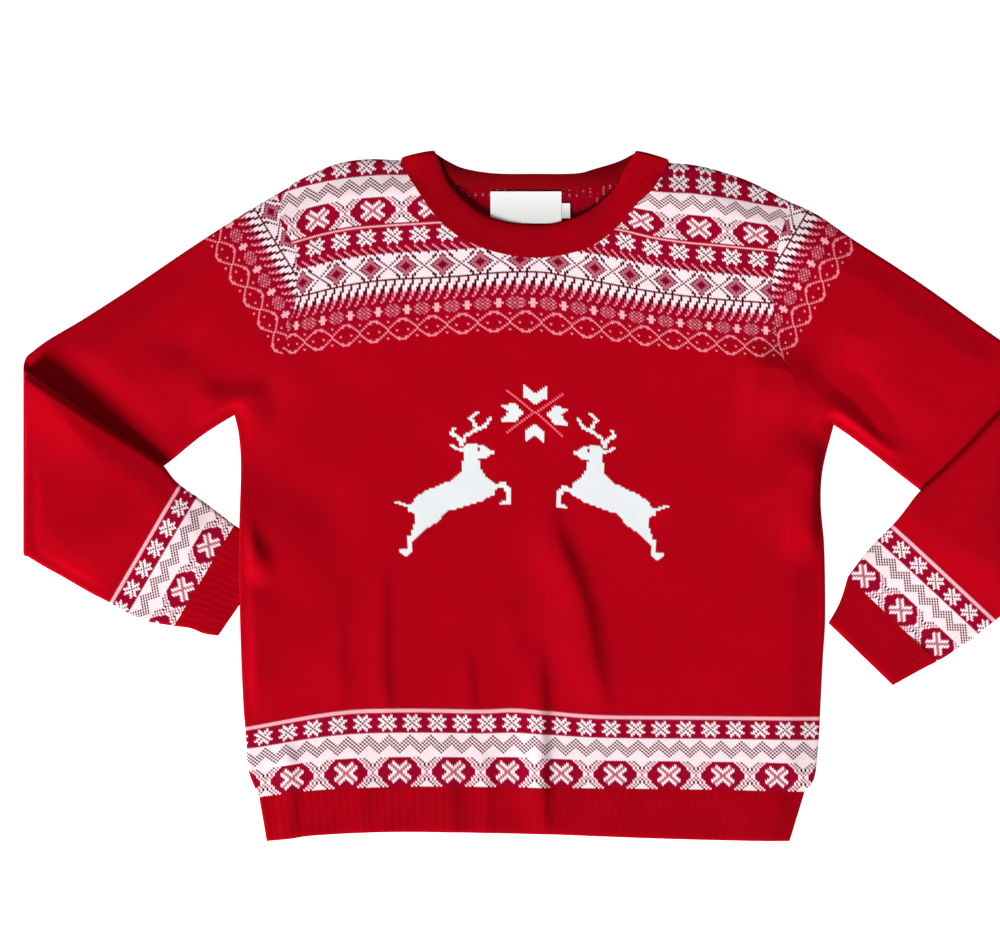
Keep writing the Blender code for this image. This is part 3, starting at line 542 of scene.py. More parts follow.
def make_piece(name, points, faces, places, stitches, finishes, face_finish, node, slot, rests_on,
               flat, area=None, held="laid"):
    """Mesh object from arrays, with knitting coordinates and its own bake layout."""
    mesh = bpy.data.meshes.new(name)
    mesh.from_pydata((points * MM).tolist(), [], faces.tolist())
    mesh.polygons.foreach_set("material_index", face_finish.astype(np.int32))
    knit = mesh.uv_layers.new(name="stitch")
    knit.data.foreach_set("uv", stitches[faces.ravel()].astype(np.float32).ravel())
    bake = mesh.uv_layers.new(name="OFBake")
    bake.data.foreach_set("uv", places.reshape(-1, 2).astype(np.float32).ravel())
    for finish in finishes:
        mesh.materials.append(finish)
    work = bmesh.new()
    work.from_mesh(mesh)
    bmesh.ops.recalc_face_normals(work, faces=work.faces)
    work.to_mesh(mesh)
    work.free()
    mesh.shade_smooth()
    mesh.set_sharp_from_angle(angle=math.radians(55))
    mesh.uv_layers.active = mesh.uv_layers["OFBake"]
    made = placed(name, mesh)
    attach(made, "root")
    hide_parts(node)


SHOWN_PATCH, HIDDEN_PATCH = (0.005, 0.8, 0.005, 0.995), (0.82, 0.995, 0.005, 0.995)
RIM_PATCH, TUBE_RIM_PATCHES = (0.804, 0.812), ((0.803, 0.809), (0.812, 0.818))


def make_wall(name, outer, inner, stitches, finishes, tube=False, rim_finish=0, **facts):
    """Closed wall between two grids of points of the same shape; a tube is open at both ends."""
    rows, columns = outer.shape[:2]
    count = rows * columns
    points = np.concatenate((outer.reshape(-1, 3), inner.reshape(-1, 3)))
    coords = np.concatenate((stitches.reshape(-1, 2),) * 2)
    shown, shown_places = grid_faces(rows, columns, tube, 0, SHOWN_PATCH)
    hidden, hidden_places = grid_faces(rows, columns, tube, count, HIDDEN_PATCH)
    faces, places = [shown, hidden[:, ::-1]], [shown_places, hidden_places[:, ::-1]]
    grid = np.arange(count).reshape(rows, columns)
    if tube:
        rims = zip((grid[0], grid[-1]), TUBE_RIM_PATCHES)
    else:
        rims = [(np.concatenate((grid[0], grid[1:, -1], grid[-1, -2::-1], grid[-2:0:-1, 0])), RIM_PATCH)]
    for rim, (left, right) in rims:
        after = np.roll(rim, -1)
        faces.append(np.stack((rim, after, after + count, rim + count), axis=1))
        step = np.linspace(0.005, 0.995, len(rim) + 1)
        low, high = step[:-1], step[1:]
        places.append(np.stack([np.stack((np.full(len(rim), x), y), axis=-1) for x, y in
                                ((left, low), (left, high), (right, high), (right, low))], axis=1))
    rim_count = sum(len(part) for part in faces[2:])
    finish = np.concatenate((np.zeros(len(shown)), np.ones(len(hidden)), np.full(rim_count, rim_finish)))
    make_piece(name, points, np.concatenate(faces), np.concatenate(places), coords, finishes,
               finish, **facts)


# ---- body ------------------------------------------------------------------------

SHOULDER_SHARES = np.concatenate(((0.0, 0.004, 0.01, 0.02, 0.034, 0.05), np.linspace(0.08, 1.0, 34)))
ARM_SHARES = np.concatenate((np.linspace(0, 0.97, 66), (0.98, 0.99, 0.996, 1.0)))
SIDE_STEPS = 136
NECK_STEPS = {"front": 104, "back": 72}


def side_line(side):
    """Panel edge from the hem seam to the shoulder tip: the side, then the armhole."""
    rise = along(curve_through(SIDE[side]), np.linspace(0, 1, SIDE_STEPS))
    return np.vstack((rise[:-1], along(curve_through(ARMHOLE[side])[::-1], ARM_SHARES)))


def panel_plan(neck, neck_columns):
    """Plan points of a body panel, rows from the hem seam up, wearer's right to left."""
    right_edge, left_edge = side_line("right"), side_line("left")
    neck_shares = np.linspace(0, 1, neck_columns + 1)
    top = np.vstack((along(curve_through(SHOULDER["right"]), SHOULDER_SHARES)[:-1],
                     along(curve_through(neck), neck_shares),
                     along(curve_through(SHOULDER["left"]), SHOULDER_SHARES)[::-1][1:]))
    seam = curve_through(HEM_SEAM)
    first, last = seam[0, 0], seam[-1, 0]
    low_x = np.concatenate((lerp(first, BODY_NECK_SPAN[0], SHOULDER_SHARES)[:-1],
                            np.linspace(*BODY_NECK_SPAN, neck_columns + 1),
                            lerp(last, BODY_NECK_SPAN[1], SHOULDER_SHARES)[::-1][1:]))
    bottom = np.stack((low_x, np.interp(low_x, seam[:, 0], seam[:, 1])), axis=1)
    across = ((low_x - first) / (last - first))[None, :, None]
    height = right_edge[:, 1] - right_edge[0, 1]
    up = (height / height[-1])[:, None, None]
    corners = ((1 - across) * (1 - up) * bottom[0] + across * (1 - up) * bottom[-1]
               + (1 - across) * up * top[0] + across * up * top[-1])
    return relaxed((1 - up) * bottom[None] + up * top[None]
                   + (1 - across) * right_edge[:, None] + across * left_edge[:, None] - corners)


def relaxed(plan, rounds=120):
    """Evens out the grid below the neck, where its lines would crowd."""
    rows, columns = plan.shape[:2]
    row, column = np.arange(rows)[:, None], np.arange(columns)[None, :]
    share = smooth((row - 0.5 * rows) / (0.2 * rows))
    share = share * smooth((np.minimum(column, columns - 1 - column) - 8) / 16)
    share = share[1:-1, 1:-1, None]
    for _ in range(rounds):
        mean = (plan[2:, 1:-1] + plan[:-2, 1:-1] + plan[1:-1, 2:] + plan[1:-1, :-2]) / 4
        plan[1:-1, 1:-1] = lerp(plan[1:-1, 1:-1], mean, share)
    return plan


def make_body(knits, wrong_side):
    """Front and back panel: the back lies on the surface, the front rises over it."""
    plan = panel_plan(NECK_FRONT, NECK_STEPS["front"])
    tuck, full, valley = tuck_rise(plan), fullness(plan), seam_valley(plan)
    lift = tuck + body_loft(plan)
    outer = with_height(plan, MID + full * MID + lift - valley)
    inner = with_height(plan, MID + GAP / 2 + np.minimum(lift, lift - valley + 0.4 * MID))
    inner[..., 2] = np.minimum(inner[..., 2], outer[..., 2] - LEAST_WALL)
    make_wall("front_knit", outer, inner, body_stitches(plan), (knits[0], wrong_side),
              node="front_panel", flat=(0.55, 0.6), area=0.295, rests_on=["back_knit"],
              slot="knit_red")
    plan = panel_plan(NECK_BACK, NECK_STEPS["back"])
    tuck, full = tuck_rise(plan), fullness(plan)
    outer = with_height(plan, MID - full * MID + tuck)
    inner = with_height(plan, MID - GAP / 2 + tuck + unevenness(plan, 0.25) - BACK_CLEAR)
    make_wall("back_knit", outer, inner, body_stitches(plan), (knits[1], wrong_side), rim_finish=1,
              node="back_panel", flat=(0.55, 0.61), area=0.31, rests_on=["floor"],
              slot="knit_red")


def rib_wave(count, steps=RIB_STEPS):
    """Places and relief of a row of rounded ribs: valleys at both ends, a peak in each rib."""
    shares = np.linspace(0, 1, steps * count + 1)
    wave = 0.5 - 0.5 * np.cos(2 * np.pi * count * shares)
    return shares, 2 * wave ** 0.6 - 1


def rib_stitches(along_seam, down):
    """Wale and course of the ribbing, from millimetres along it and the share of its depth."""
    return np.stack(np.broadcast_arrays(along_seam / RIB_WALE, -down * RIB_COURSES), axis=-1)


def make_hem(rib, wrong_side):
    """Front and back half of the hem ribbing, from the seam down to the rounded lower edge."""
    long = length_of(np.array(HEM_SEAM, float))
    shares, relief = rib_wave(round(long / HEM_RIB_PITCH))
    relief = relief * RIB_RELIEF
    down = np.concatenate(((0, 0.03, 0.07), np.linspace(0.14, 0.94, 9), (0.97, 0.99, 1.0)))
    seam_line = along(curve_through(HEM_SEAM), shares) - np.array((0.0, SEAM_GAP))
    plan = lerp(seam_line[None], along(curve_through(HEM_EDGE), shares)[None], down[:, None, None])
    from_side = np.minimum(shares, 1 - shares)
    seam = HEM_SEAM_DEPTH * bell(down, HEM_SEAM_WIDTH)
    full = (wall_share(from_side, HEM_SIDE_ROUND, EDGE_LEFT)[None]
            * wall_share(1 - down, HEM_ROUND, HEM_LEFT)[:, None])
    loft = body_loft(plan) * lerp(1.0, HEM_EDGE_LOFT, down)[:, None] * smooth(from_side / HEM_SIDE_RISE)
    front = MID + full * MID + loft + (relief - seam[:, None]) * full
    heights = {"front": (front, MID + GAP / 2 + np.minimum(loft, front - MID - 0.3), "back_hem_knit"),
               "back": (MID - full * MID - relief.clip(-RIB_RELIEF, 0) * 0.6, MID - GAP / 2, "floor")}
    for side, (outer, inner, under) in heights.items():
        make_wall(f"{side}_hem_knit", with_height(plan, outer), with_height(plan, inner),
                  rib_stitches(shares * long, down[:, None]), (rib, wrong_side), node=f"{side}_hem_rib",
                  flat=(long * MM, 0.046), rests_on=[under], slot="rib_red")


# ---- sleeves ---------------------------------------------------------------------

AROUND_STEPS = 74       # points across the upper side of a sleeve
UPPER_RINGS, FOREARM_RINGS, CUFF_RINGS = 72, 70, 18
FOLD_ANGLES = np.radians(np.linspace(-75, 75, 11))


def around_tube(half):
    """Ring places of a flattened tube: share of the width, fullness up (+) or down (-)."""
    edge = np.array((0.0, 0.004, 0.01, 0.019, 0.031))
    shares = np.concatenate((edge, np.linspace(0.05, 0.95, half - 10), 1 - edge[::-1]))
    full = rounded(np.minimum(shares, 1 - shares), TUBE_ROUND)
    return np.concatenate((shares, shares[-2:0:-1])), np.concatenate((full, -full[-2:0:-1]))


def sleeve_line(side, row, shares):
    """Line across the upper arm, bowed as the armhole is near it."""
    start, end, bow = row[:2], row[2:4], row[4]
    knots = np.linspace(0, 1, 41)
    seam = along(curve_through(ARMHOLE[side]), knots)
    bowed = np.stack([np.interp(shares, knots, seam[:, axis]) for axis in (0, 1)], axis=1)
    chord = lerp(seam[0], seam[-1], shares[:, None])
    return lerp(start, end, shares[:, None]) + bow * (bowed - chord)


def inset(shares, width):
    """Places of the inner wall, a wall's thickness in at either side."""
    margin, reach = WALL / width, 0.1
    from_low = np.clip(1 - shares / reach, 0, 1)
    from_high = np.clip(1 - (1 - shares) / reach, 0, 1)
    return shares + margin * (from_low - from_high)


def dense_rows(table, count):
    """Smooth rows between the sections of a table."""
    line = curve_through(table, 20)
    middle = np.column_stack(((line[:, 0] + line[:, 2]) / 2, (line[:, 1] + line[:, 3]) / 2, line))
    return along(middle, np.linspace(0, 1, count))[:, 2:]


def ring_pair(shares, width, line_at, height_at):
    """Outer and inner ring of a tube, from its lines and heights for half a wall's thickness."""
    return [with_height(line_at(places, half), height_at(half))
            for places, half in ((shares, MID), (inset(shares, width), GAP / 2))]


def make_sleeve(side, knit, wrong_side):
    """Upper arm from the armhole to the elbow, the fold there, and the forearm laid back over it."""
    sign = -1.0 if side == "right" else 1.0
    shares, fulls = around_tube(AROUND_STEPS)
    up, down = np.clip(fulls, 0, 1), np.clip(-fulls, 0, 1)
    rings, stitches = [], []
    rows = dense_rows(UPPER_ARM[side], UPPER_RINGS)
    for number, row in enumerate(rows):
        full_line = sleeve_line(side, row, shares)
        shift = (sign * SEAM_GAP if number == 0 else 0.0, 0.0)
        rise, valley = MID + body_loft(full_line) * up, seam_valley(full_line) * up
        rings.append(ring_pair(shares, np.linalg.norm(row[2:4] - row[:2]),
                               lambda places, half: sleeve_line(side, row, places) + shift,
                               lambda half: rise + fulls * half - valley * (1.0 if half == MID else 0.5)))
        stitches.append(cap_stitches(full_line, side))
    low, high = rows[-1][:4], np.array(FOREARM[side][0], float)
    radius, centre = STRAND_STEP / 2, MID + STRAND_STEP / 2
    last = forearm_stitches(lerp(high[:2], high[2:], shares[:, None]), side)
    first = stitches[-1]
    for angle in FOLD_ANGLES:
        swing = 0.5 + 0.5 * math.sin(angle)
        start, end = lerp(low, high, swing).reshape(2, 2)
        run = end - start
        out = sign * np.array((-run[1], run[0])) / np.linalg.norm(run)
        rings.append(ring_pair(
            shares, np.linalg.norm(run),
            lambda places, half: (lerp(start, end, places[:, None])
                                  + out * ((radius - fulls * half) * math.cos(angle))[:, None]),
            lambda half: centre + (radius - fulls * half) * math.sin(angle)))
        stitches.append(lerp(first, last, swing))
    for row in dense_rows(FOREARM[side], FOREARM_RINGS):
        start, end = row.reshape(2, 2)
        full_line = lerp(start, end, shares[:, None])
        base, loft = forearm_base(full_line, side) + MID, forearm_loft(full_line, side) * down
        rings.append(ring_pair(shares, np.linalg.norm(end - start),
                               lambda places, half: lerp(start, end, places[:, None]),
                               lambda half: base - fulls * half + loft))
        stitches.append(forearm_stitches(full_line, side))
    outer, inner = np.array(rings).transpose(1, 0, 2, 3)
    make_wall(f"{side}_sleeve_knit", outer, inner, np.array(stitches), (knit, wrong_side), tube=True,
              node=f"{side}_sleeve", held="folded", flat=(0.37, 0.46), area=0.15, rests_on=["floor"],
              slot="knit_red")


def make_cuff(side, rib, wrong_side):
    first = np.array(CUFF[side][0], float)
    width = np.linalg.norm(first[2:] - first[:2])
    wave, relief = rib_wave(round(width / CUFF_RIB_PITCH))
    under = np.linspace(1 - CUFF_EDGE, CUFF_EDGE, 9)
    edge, edge_full = np.array((0.0, 0.003, 0.01)), np.array((0.0, 0.5, 0.85))
    shares = np.concatenate((edge, lerp(CUFF_EDGE, 1 - CUFF_EDGE, wave), 1 - edge[::-1], under))
    fulls = np.concatenate((edge_full, np.ones(len(wave)), edge_full[::-1], -np.ones(len(under))))
    ribs = RIB_RELIEF * np.concatenate(((0, 0, 0), relief, (0, 0, 0), np.zeros(len(under))))
    up = np.clip(fulls, 0, 1)
    rows = dense_rows(CUFF[side], CUFF_RINGS)
    rows[0] += (rows[1] - first) / np.linalg.norm(rows[1, :2] - first[:2]) * SEAM_GAP
    rings, stitches = [], []
    travel = np.linspace(0, 1, len(rows))
    lofts = np.interp(travel, np.linspace(0, 1, len(CUFF_LOFT)), CUFF_LOFT)
    for row, travelled, high in zip(rows, travel, lofts):
        start, end = row.reshape(2, 2)
        loft = high * up * smooth(np.minimum(shares, 1 - shares) / CUFF_ROUND)
        seam = CUFF_SEAM_DEPTH * bell(travelled, CUFF_SEAM_WIDTH) * up
        rim = wall_share(1 - travelled, CUFF_END_ROUND, CUFF_LEFT)
        outer = lerp(start, end, shares[:, None])
        inner = lerp(start, end, inset(shares, width)[:, None])
        rings.append((with_height(outer, MID + fulls * MID * rim + loft + ribs * rim - seam),
                      with_height(inner, MID + fulls * GAP / 2 + np.maximum(loft - seam, 0))))
        stitches.append(rib_stitches(shares * width, travelled))
    outer, inner = np.array(rings).transpose(1, 0, 2, 3)
    make_wall(f"{side}_cuff_knit", outer, inner, np.array(stitches), (rib, wrong_side), tube=True,
              node=f"{side}_cuff", flat=(2 * width * MM, 0.045), rests_on=["floor"], slot="rib_red")


# ---- neck ------------------------------------------------------------------------

def neck_seam(neck, shares):
    """Points beside the panel's neck edge."""
    edge = along(curve_through(neck), np.linspace(0, 1, 101))
    seam = along(edge, shares)
    even = np.linspace(0, 1, 201)
    run = np.gradient(along(edge, even), axis=0)
    run = np.stack([np.interp(shares, even, run[:, axis]) for axis in (0, 1)], axis=1)
    run /= np.linalg.norm(run, axis=1)[:, None]
    return seam + SEAM_GAP * np.stack((-run[:, 1], run[:, 0]), axis=1)


def neck_stations(table, neck, facing_sign):
    """Seam, free edge, facing and relief at even steps along one half of the collar."""
    line = curve_through(table)
    seam = neck_seam(neck, np.clip(line[:, 0], 0, 1))
    line = np.column_stack((seam, line[:, 1:]))
    middle = (line[:, :3] + line[:, 3:]) / 2
    travelled = travel_along(middle)
    shares, relief = rib_wave(round(travelled[-1] / NECK_RIB_PITCH), 6)
    at = shares * travelled[-1]
    both = np.stack([np.interp(at, travelled, line[:, axis]) for axis in range(6)], axis=1)
    seam, free = both[:, :3], both[:, 3:]
    facing = np.cross(np.gradient((seam + free) / 2, axis=0), free - seam)
    facing /= np.linalg.norm(facing, axis=1)[:, None]
    facing *= (np.sign(facing[:, 2]) * facing_sign)[:, None]
    return seam, free, facing, relief


def neck_turn(high, low, sign):
    """The same around the turn at a shoulder, from the back half up to the front half."""
    high, low = np.concatenate(high[:2]), np.concatenate(low[:2])
    stations = []
    radius, centre = (high[2] - low[2]) / 2, (high[2] + low[2]) / 2
    for angle in np.radians(NECK_TURN_ANGLES):
        row = lerp(low, high, 0.5 + 0.5 * math.sin(angle))
        run = row[3:5] - row[:2]
        out = sign * np.array((-run[1], run[0])) / np.linalg.norm(run)
        facing = np.array((*(out * math.cos(angle)), math.sin(angle)))
        for place in (0, 3):
            row[place:place + 2] += out * radius * math.cos(angle)
            row[place + 2] = centre + radius * math.sin(angle)
        stations.append((row[:3], row[3:], facing, 0.0))
    return stations


def make_neck(rib, rib_painted_shade):
    """Collar ring: front half, turn, back half, turn, with its lip beside the panels."""
    front = list(zip(*neck_stations(NECK_RIB_FRONT, NECK_FRONT, 1.0)))
    back = list(zip(*neck_stations(NECK_RIB_BACK, NECK_BACK, -1.0)))
    stations = (front + neck_turn(front[-1], back[0], -1.0) + back
                + neck_turn(front[0], back[-1], 1.0)[::-1])
    across = np.array(NECK_ACROSS)
    rings, stitches = [], []
    travel = travel_along(np.array([(seam + free) / 2 for seam, free, *_ in stations]))
    for (seam, free, facing, relief), travelled in zip(stations, travel):
        half = across[:, 1] * np.where((facing[2] < 0) & (across[:, 1] > 0), BACK_RIB_WALL, 1.0)
        if facing[2] > 0.9:
            flush = (2 * MID + float(body_loft(seam[None])[0]) - seam[2]) / (RIB_WALL / 2)
            half = half + (max(flush, 0.3) - half) * (half > 0) * (1 - smooth(across[:, 0] / 0.4))
        height = half * RIB_WALL / 2 + across[:, 2] * relief * NECK_RELIEF
        rings.append(lerp(seam[None], free[None], across[:, :1]) + facing * height[:, None])
        wide = np.linalg.norm(free - seam)
        stitches.append(np.column_stack((np.full(len(across), travelled / (NECK_RIB_PITCH / 4)),
                                         across[:, 0] * wide / COURSE)))
    outer, coords = np.array(rings), np.array(stitches)
    count, around = outer.shape[:2]
    closed = np.concatenate((outer, outer[:1]))
    coords = np.concatenate((coords, coords[:1] + (round(travelled / NECK_RIB_PITCH * 4), 0)))
    faces, places = grid_faces(count + 1, around, True, 0, (0.005, 0.995, 0.005, 0.995))
    # Faces on the inner side of the ring, which face up on the back half, get the rib with painted shade
    # inside the neck.
    inner = (across[:, 1] + np.roll(across[:, 1], -1) < 0).astype(float)
    finish = np.tile(inner, count)
    make_piece("neck_knit", closed.reshape(-1, 3), faces, places, coords.reshape(-1, 2), (rib, rib_painted_shade),
               finish, node="neck_rib", flat=(travelled * MM, 0.03), rests_on=["front_knit"],
               slot="rib_red")


# ---- knitted charts --------------------------------------------------------------
# Each letter is a yarn: "." ground, w white, d dark, m mauve, p pink, q pale, k core, c deep.

YARNS = ".wdmpqkc"
CHART_ROWS = 108
OPEN_ROWS = 26      # rows over which the ground turns from the plain red to the crimson of the yoke

FLOWER = ("..m.", ".p.m", "m.m.", ".p.p", "m.m.", ".p.m", "..m.")
FEATHER = ("wwwd", "wwwd", "wwdd", "wwdw", "wddw", "wdcw", "pccq", "ccmp", "c..p", "..p.", "..p.", ".p..",
           "....")
DASHES = ("p...", ".p..", "d.p.", ".d.p", "wwdw")


def wave_yarn(column, above):
    strand = abs(abs(above) - 5.3 * math.sin(math.pi * column / 13)) < 0.6
    dot = (column == 0 and abs(above) == 4.5) or (column == 4 and above == -0.5)
    return "p" if strand or dot else "."


def flower_yarn(column, above):
    """A small flower, and half a repeat on a cross."""
    if column < 4:
        return FLOWER[int(3 - above)][3 - column] if abs(above) <= 3 else "."
    reach = 1.5 if above == 0 else 0.5
    return "q" if abs(column - 6.5) <= reach and abs(above) <= 2 else "."


def star_yarn(column, above, inner, outer, crossing):
    """Eight-pointed star with cells of another yarn on its diagonals."""
    x, y = column, abs(above)
    petal = y - inner <= x <= min(y - 1, outer - y) or x - inner <= y <= min(x - 1, outer - x)
    if abs(x - y) < 0.6 and x <= (outer - 1) // 2:
        return crossing
    return "w" if petal else "."


def small_star_yarn(column, above):
    return star_yarn(column, above, 2, 6, "d")


def diamond_yarn(column, above):
    reach = column + 0.83 * abs(above)
    for limit, yarn in ((2.2, "k"), (4.4, "m"), (5.3, "d"), (7.1, "w"), (8.2, "d")):
        if reach < limit:
            return yarn
    return "w"


def oval_yarn(column, above):
    """Ovals with a big star inside and lines around them."""
    edge = column + 0.725 * abs(above) - 11.3
    if edge < 0:
        return star_yarn(column, above, 3, 9, "m")
    if 1.1 <= edge < 2.1:
        return "m"
    return "d" if 3.1 <= edge < 4.1 else "w"


def zigzag_yarn(column, above):
    """Hatched zigzag on white."""
    offset = abs(above - 2.5 + column)
    return "d" if offset <= 2.5 and int(above + column + 20) % 2 else "w"


def drawn(rows):
    """Band from its own rows, top row first, four wales wide or plain all along."""
    return lambda column, above: rows[-1 - above][column % len(rows[-1 - above])]


# Bands from the bottom up. Columns: first row, half of the repeat, middle wale on the yoke's
# wearer's right and left, and in the hem, the drawing, and the row that the drawing starts from.
BANDS = (
    (0, 6.5, 9, 9, 9, wave_yarn, 5.5), (12, 6.5, 11, 12, 11, flower_yarn, 4),
    (20, 4, 0, 0, 0, drawn(FEATHER), 0), (33, 4, 0, 0, 0, drawn("d"), 0), (34, 8, 0, 0, 0, diamond_yarn, 6),
    (47, 4, 0, 0, 0, drawn(DASHES), 0), (52, 6, 6, 10, 9, small_star_yarn, 5),
    (63, 4, 0, 0, 0, drawn(".q"), 0), (65, 13, 15, 1, 21, oval_yarn, 7.5), (81, 5, 6, 6, 8, zigzag_yarn, 6),
    (94, 6, 6, 10, 9, small_star_yarn, 5), (105, 4, 0, 0, 0, drawn(".qq"), 0),
)


def chart_yarn(row, column):
    first, *_, drawing, start = max((band for band in BANDS if band[0] <= row), key=lambda band: band[0])
    return drawing(column, row - first - start)


# The deer on the front, one half in millimetres: outward from the middle, up from the hooves.
DEER_AREAS = (
    ((115, 52), (107, 61), (98, 66), (86, 70), (73, 75), (64, 83), (63, 100), (61, 108), (50, 107),
     (43, 105), (35, 99), (43, 94), (49, 94), (48, 85), (42, 76), (35, 70), (36, 60), (48, 54), (62, 50),
     (80, 46), (88, 37), (100, 30), (113, 19), (117, 20), (115, 26), (110, 38), (110, 44), (116, 48)),
    ((31, 143), (18, 144), (9, 136), (18, 127), (30, 128), (23, 136)),
    ((0, 155), (10, 162), (10, 151), (0, 143)),
    ((0, 127), (8, 120), (8, 109), (0, 115)),
)
# Strokes: width, then points.
DEER_STROKES = (
    (5.0, (117, 22), (116, 12), (120, 8), (124, 10)),
    (4.6, (36, 67), (27, 69), (23, 63), (23, 53), (28, 52)),
    (2.6, (114, 52), (120, 54), (127, 57)), (2.6, (62, 102), (67, 103), (73, 107)),
    (3.0, (64, 107), (61, 115), (50, 121), (53, 128), (56, 132), (50, 137)),
    (3.0, (50, 121), (43, 124), (39, 131)), (3.0, (64, 107), (67, 114), (73, 118), (71, 123)),
)
DEER_EYE = (48, 102.7)
DEER_CELL = (2.08, 1.74)
FIGURE_ROWS, FIGURE_COLUMNS = 96, 64
FIGURE_WALE, FIGURE_COURSE = 7.2, 122
DEER_START, DEER_LIFT = 16.5, 2     # courses by which the deer on the wearer's left is higher
FLAKE_ROW, FLAKE_REACH = 78, 11     # middle and arm length of the thin cross in the snowflake


def inside(polygon, x, y):
    crossings = False
    for (x0, y0), (x1, y1) in zip(polygon, polygon[1:] + polygon[:1]):
        if (y0 > y) != (y1 > y) and x < x0 + (x1 - x0) * (y - y0) / (y1 - y0):
            crossings = not crossings
    return crossings


def figure_yarn(row, column):
    place = np.array(((column + 0.5) * DEER_CELL[0], (row + 0.5) * DEER_CELL[1]))
    if np.linalg.norm(place - DEER_EYE) < 1.3:
        return False
    if any(inside(area, *place) for area in DEER_AREAS):
        return True
    return any(distance_to(place, np.array(line, float)) < width / 2 for width, *line in DEER_STROKES)


# ---- materials -------------------------------------------------------------------

def shade(*levels):
    """Linear colour from 0-255 display levels."""
    return tuple((v / 255 / 12.92) if v / 255 < 0.04045 else ((v / 255 + 0.055) / 1.055) ** 2.4
                 for v in levels) + (1.0,)


class Tree:
    """Short calls for building a node tree."""

    def __init__(self, name):
        self.material = bpy.data.materials.new(name)
        self.material.use_nodes = True
        self.tree = self.material.node_tree
        self.shader = self.tree.nodes["Principled BSDF"]

    def add(self, kind, *values, out=0, **settings):
        node = self.tree.nodes.new("ShaderNode" + kind)
        for key, value in settings.items():
            setattr(node, key, value)
        for number, value in enumerate(values):
            self.join(value, node.inputs[number])
        return node.outputs[out]

    def join(self, value, socket):
        value = getattr(value, "socket", value)
        if isinstance(value, bpy.types.NodeSocket):
            self.tree.links.new(value, socket)
        else:
            socket.default_value = value

    def math(self, operation, *values):
        return Number(self, self.add("Math", *values, operation=operation))

    def vector(self, operation, *values):
        return self.add("VectorMath", *values, operation=operation)

    def parts(self, vector):
        return [Number(self, part) for part in self.add("SeparateXYZ", vector).node.outputs]

    def pick(self, share, start, end):
        """start where share is 0, end where it is 1."""
        return share.times_plus(end - start, start)

    def blend(self, share, start, end):
        node = self.tree.nodes.new("ShaderNodeMix")
        node.data_type = "RGBA"
        for value, name in ((share, "Factor_Float"), (start, "A_Color"), (end, "B_Color")):
            self.join(value, next(s for s in node.inputs if s.identifier == name))
        return next(s for s in node.outputs if s.identifier == "Result_Color")

    def ramp(self, place, stops, interpolation="CONSTANT"):
        node = self.tree.nodes.new("ShaderNodeValToRGB")
        ramp = node.color_ramp
        ramp.interpolation = interpolation
        while len(ramp.elements) < len(stops):
            ramp.elements.new(1.0)
        for element, (position, colour) in zip(ramp.elements, stops):
            element.position = position
            element.color = colour
        self.join(place, node.inputs[0])
        return node.outputs["Color"], Number(self, node.outputs["Alpha"])

    def noise(self, where, scale, detail=2.0):
        node = self.tree.nodes.new("ShaderNodeTexNoise")
        self.join(where, node.inputs["Vector"])
        node.inputs["Scale"].default_value = scale
        node.inputs["Detail"].default_value = detail
        return Number(self, node.outputs[0])

    def mottled(self, scale, low, high):
        """Colour that drifts between two close ones over the cloth."""
        stops = ((0.3, shade(*low)), (0.7, shade(*high)))
        return self.ramp(self.noise(self.place(), scale), stops, "LINEAR")[0]

    def place(self):
        return self.add("TexCoord", out=OBJECT_OUTPUT)

    def stitch_place(self):
        """Wale and course, as whole and part numbers."""
        return self.parts(self.add("UVMap", uv_map="stitch"))[:2]

    def finish(self, height, depth, **inputs):
        """Bump and the shader's even values; returns the material."""
        bump = self.tree.nodes.new("ShaderNodeBump")
        bump.inputs["Distance"].default_value = depth
        self.join(height, bump.inputs["Height"])
        self.join(bump.outputs[0], self.shader.inputs["Normal"])
        return self.set({**CLOTH, **inputs})

    def set(self, inputs):
        for name, value in inputs.items():
            self.join(value, self.shader.inputs[name.replace("_", " ")])
        return self.material


def step(operation, turned=False):
    def apply(self, *others):
        return self.tree.math(operation, *((*others, self) if turned else (self, *others)))
    return apply


class Number:
    """A value in a node tree: arithmetic on it adds Math nodes."""

    def __init__(self, tree, socket):
        self.tree, self.socket = tree, socket

    __add__, __mul__, __truediv__ = step("ADD"), step("MULTIPLY"), step("DIVIDE")
    __sub__, __rsub__ = step("SUBTRACT"), step("SUBTRACT", True)
    __pow__, __rpow__ = step("POWER"), step("POWER", True)
    __lt__, __gt__, __mod__ = step("LESS_THAN"), step("GREATER_THAN"), step("FLOORED_MODULO")
    __abs__, __floor__, __round__ = step("ABSOLUTE"), step("FLOOR"), step("ROUND")
    fraction, at_most, at_least = step("FRACT"), step("MINIMUM"), step("MAXIMUM")
    times_plus, folded_by, sine = step("MULTIPLY_ADD"), step("PINGPONG"), step("SINE")


OBJECT_OUTPUT = 3       # of the texture coordinates
CLOTH = {"Roughness": 0.92, "Specular_IOR_Level": 0.01, "Sheen_Weight": 0.008, "Sheen_Roughness": 0.6}
BLOCK = 32              # rows of a chart in one ramp
BITS = 16               # columns in one mask
HALF_BIT = 7e-6         # less than half of a mask's last bit


def masks(cells):
    """Bits of a row of cells, first column highest, as a number below 1."""
    return sum(0.5 ** (column + 1) for column, bit in enumerate(cells) if bit)


def chart_stops(first):
    stops = []
    for row in range(first, first + BLOCK):
        channels = [0.0] * 3
        if row < CHART_ROWS:
            codes = [YARNS.index(chart_yarn(row, column)) for column in range(14)]
            channels = [masks(code >> bit & 1 for code in codes) for bit in range(3)]
        stops.append(((row - first) / BLOCK, (*channels, 1.0)))
    return stops


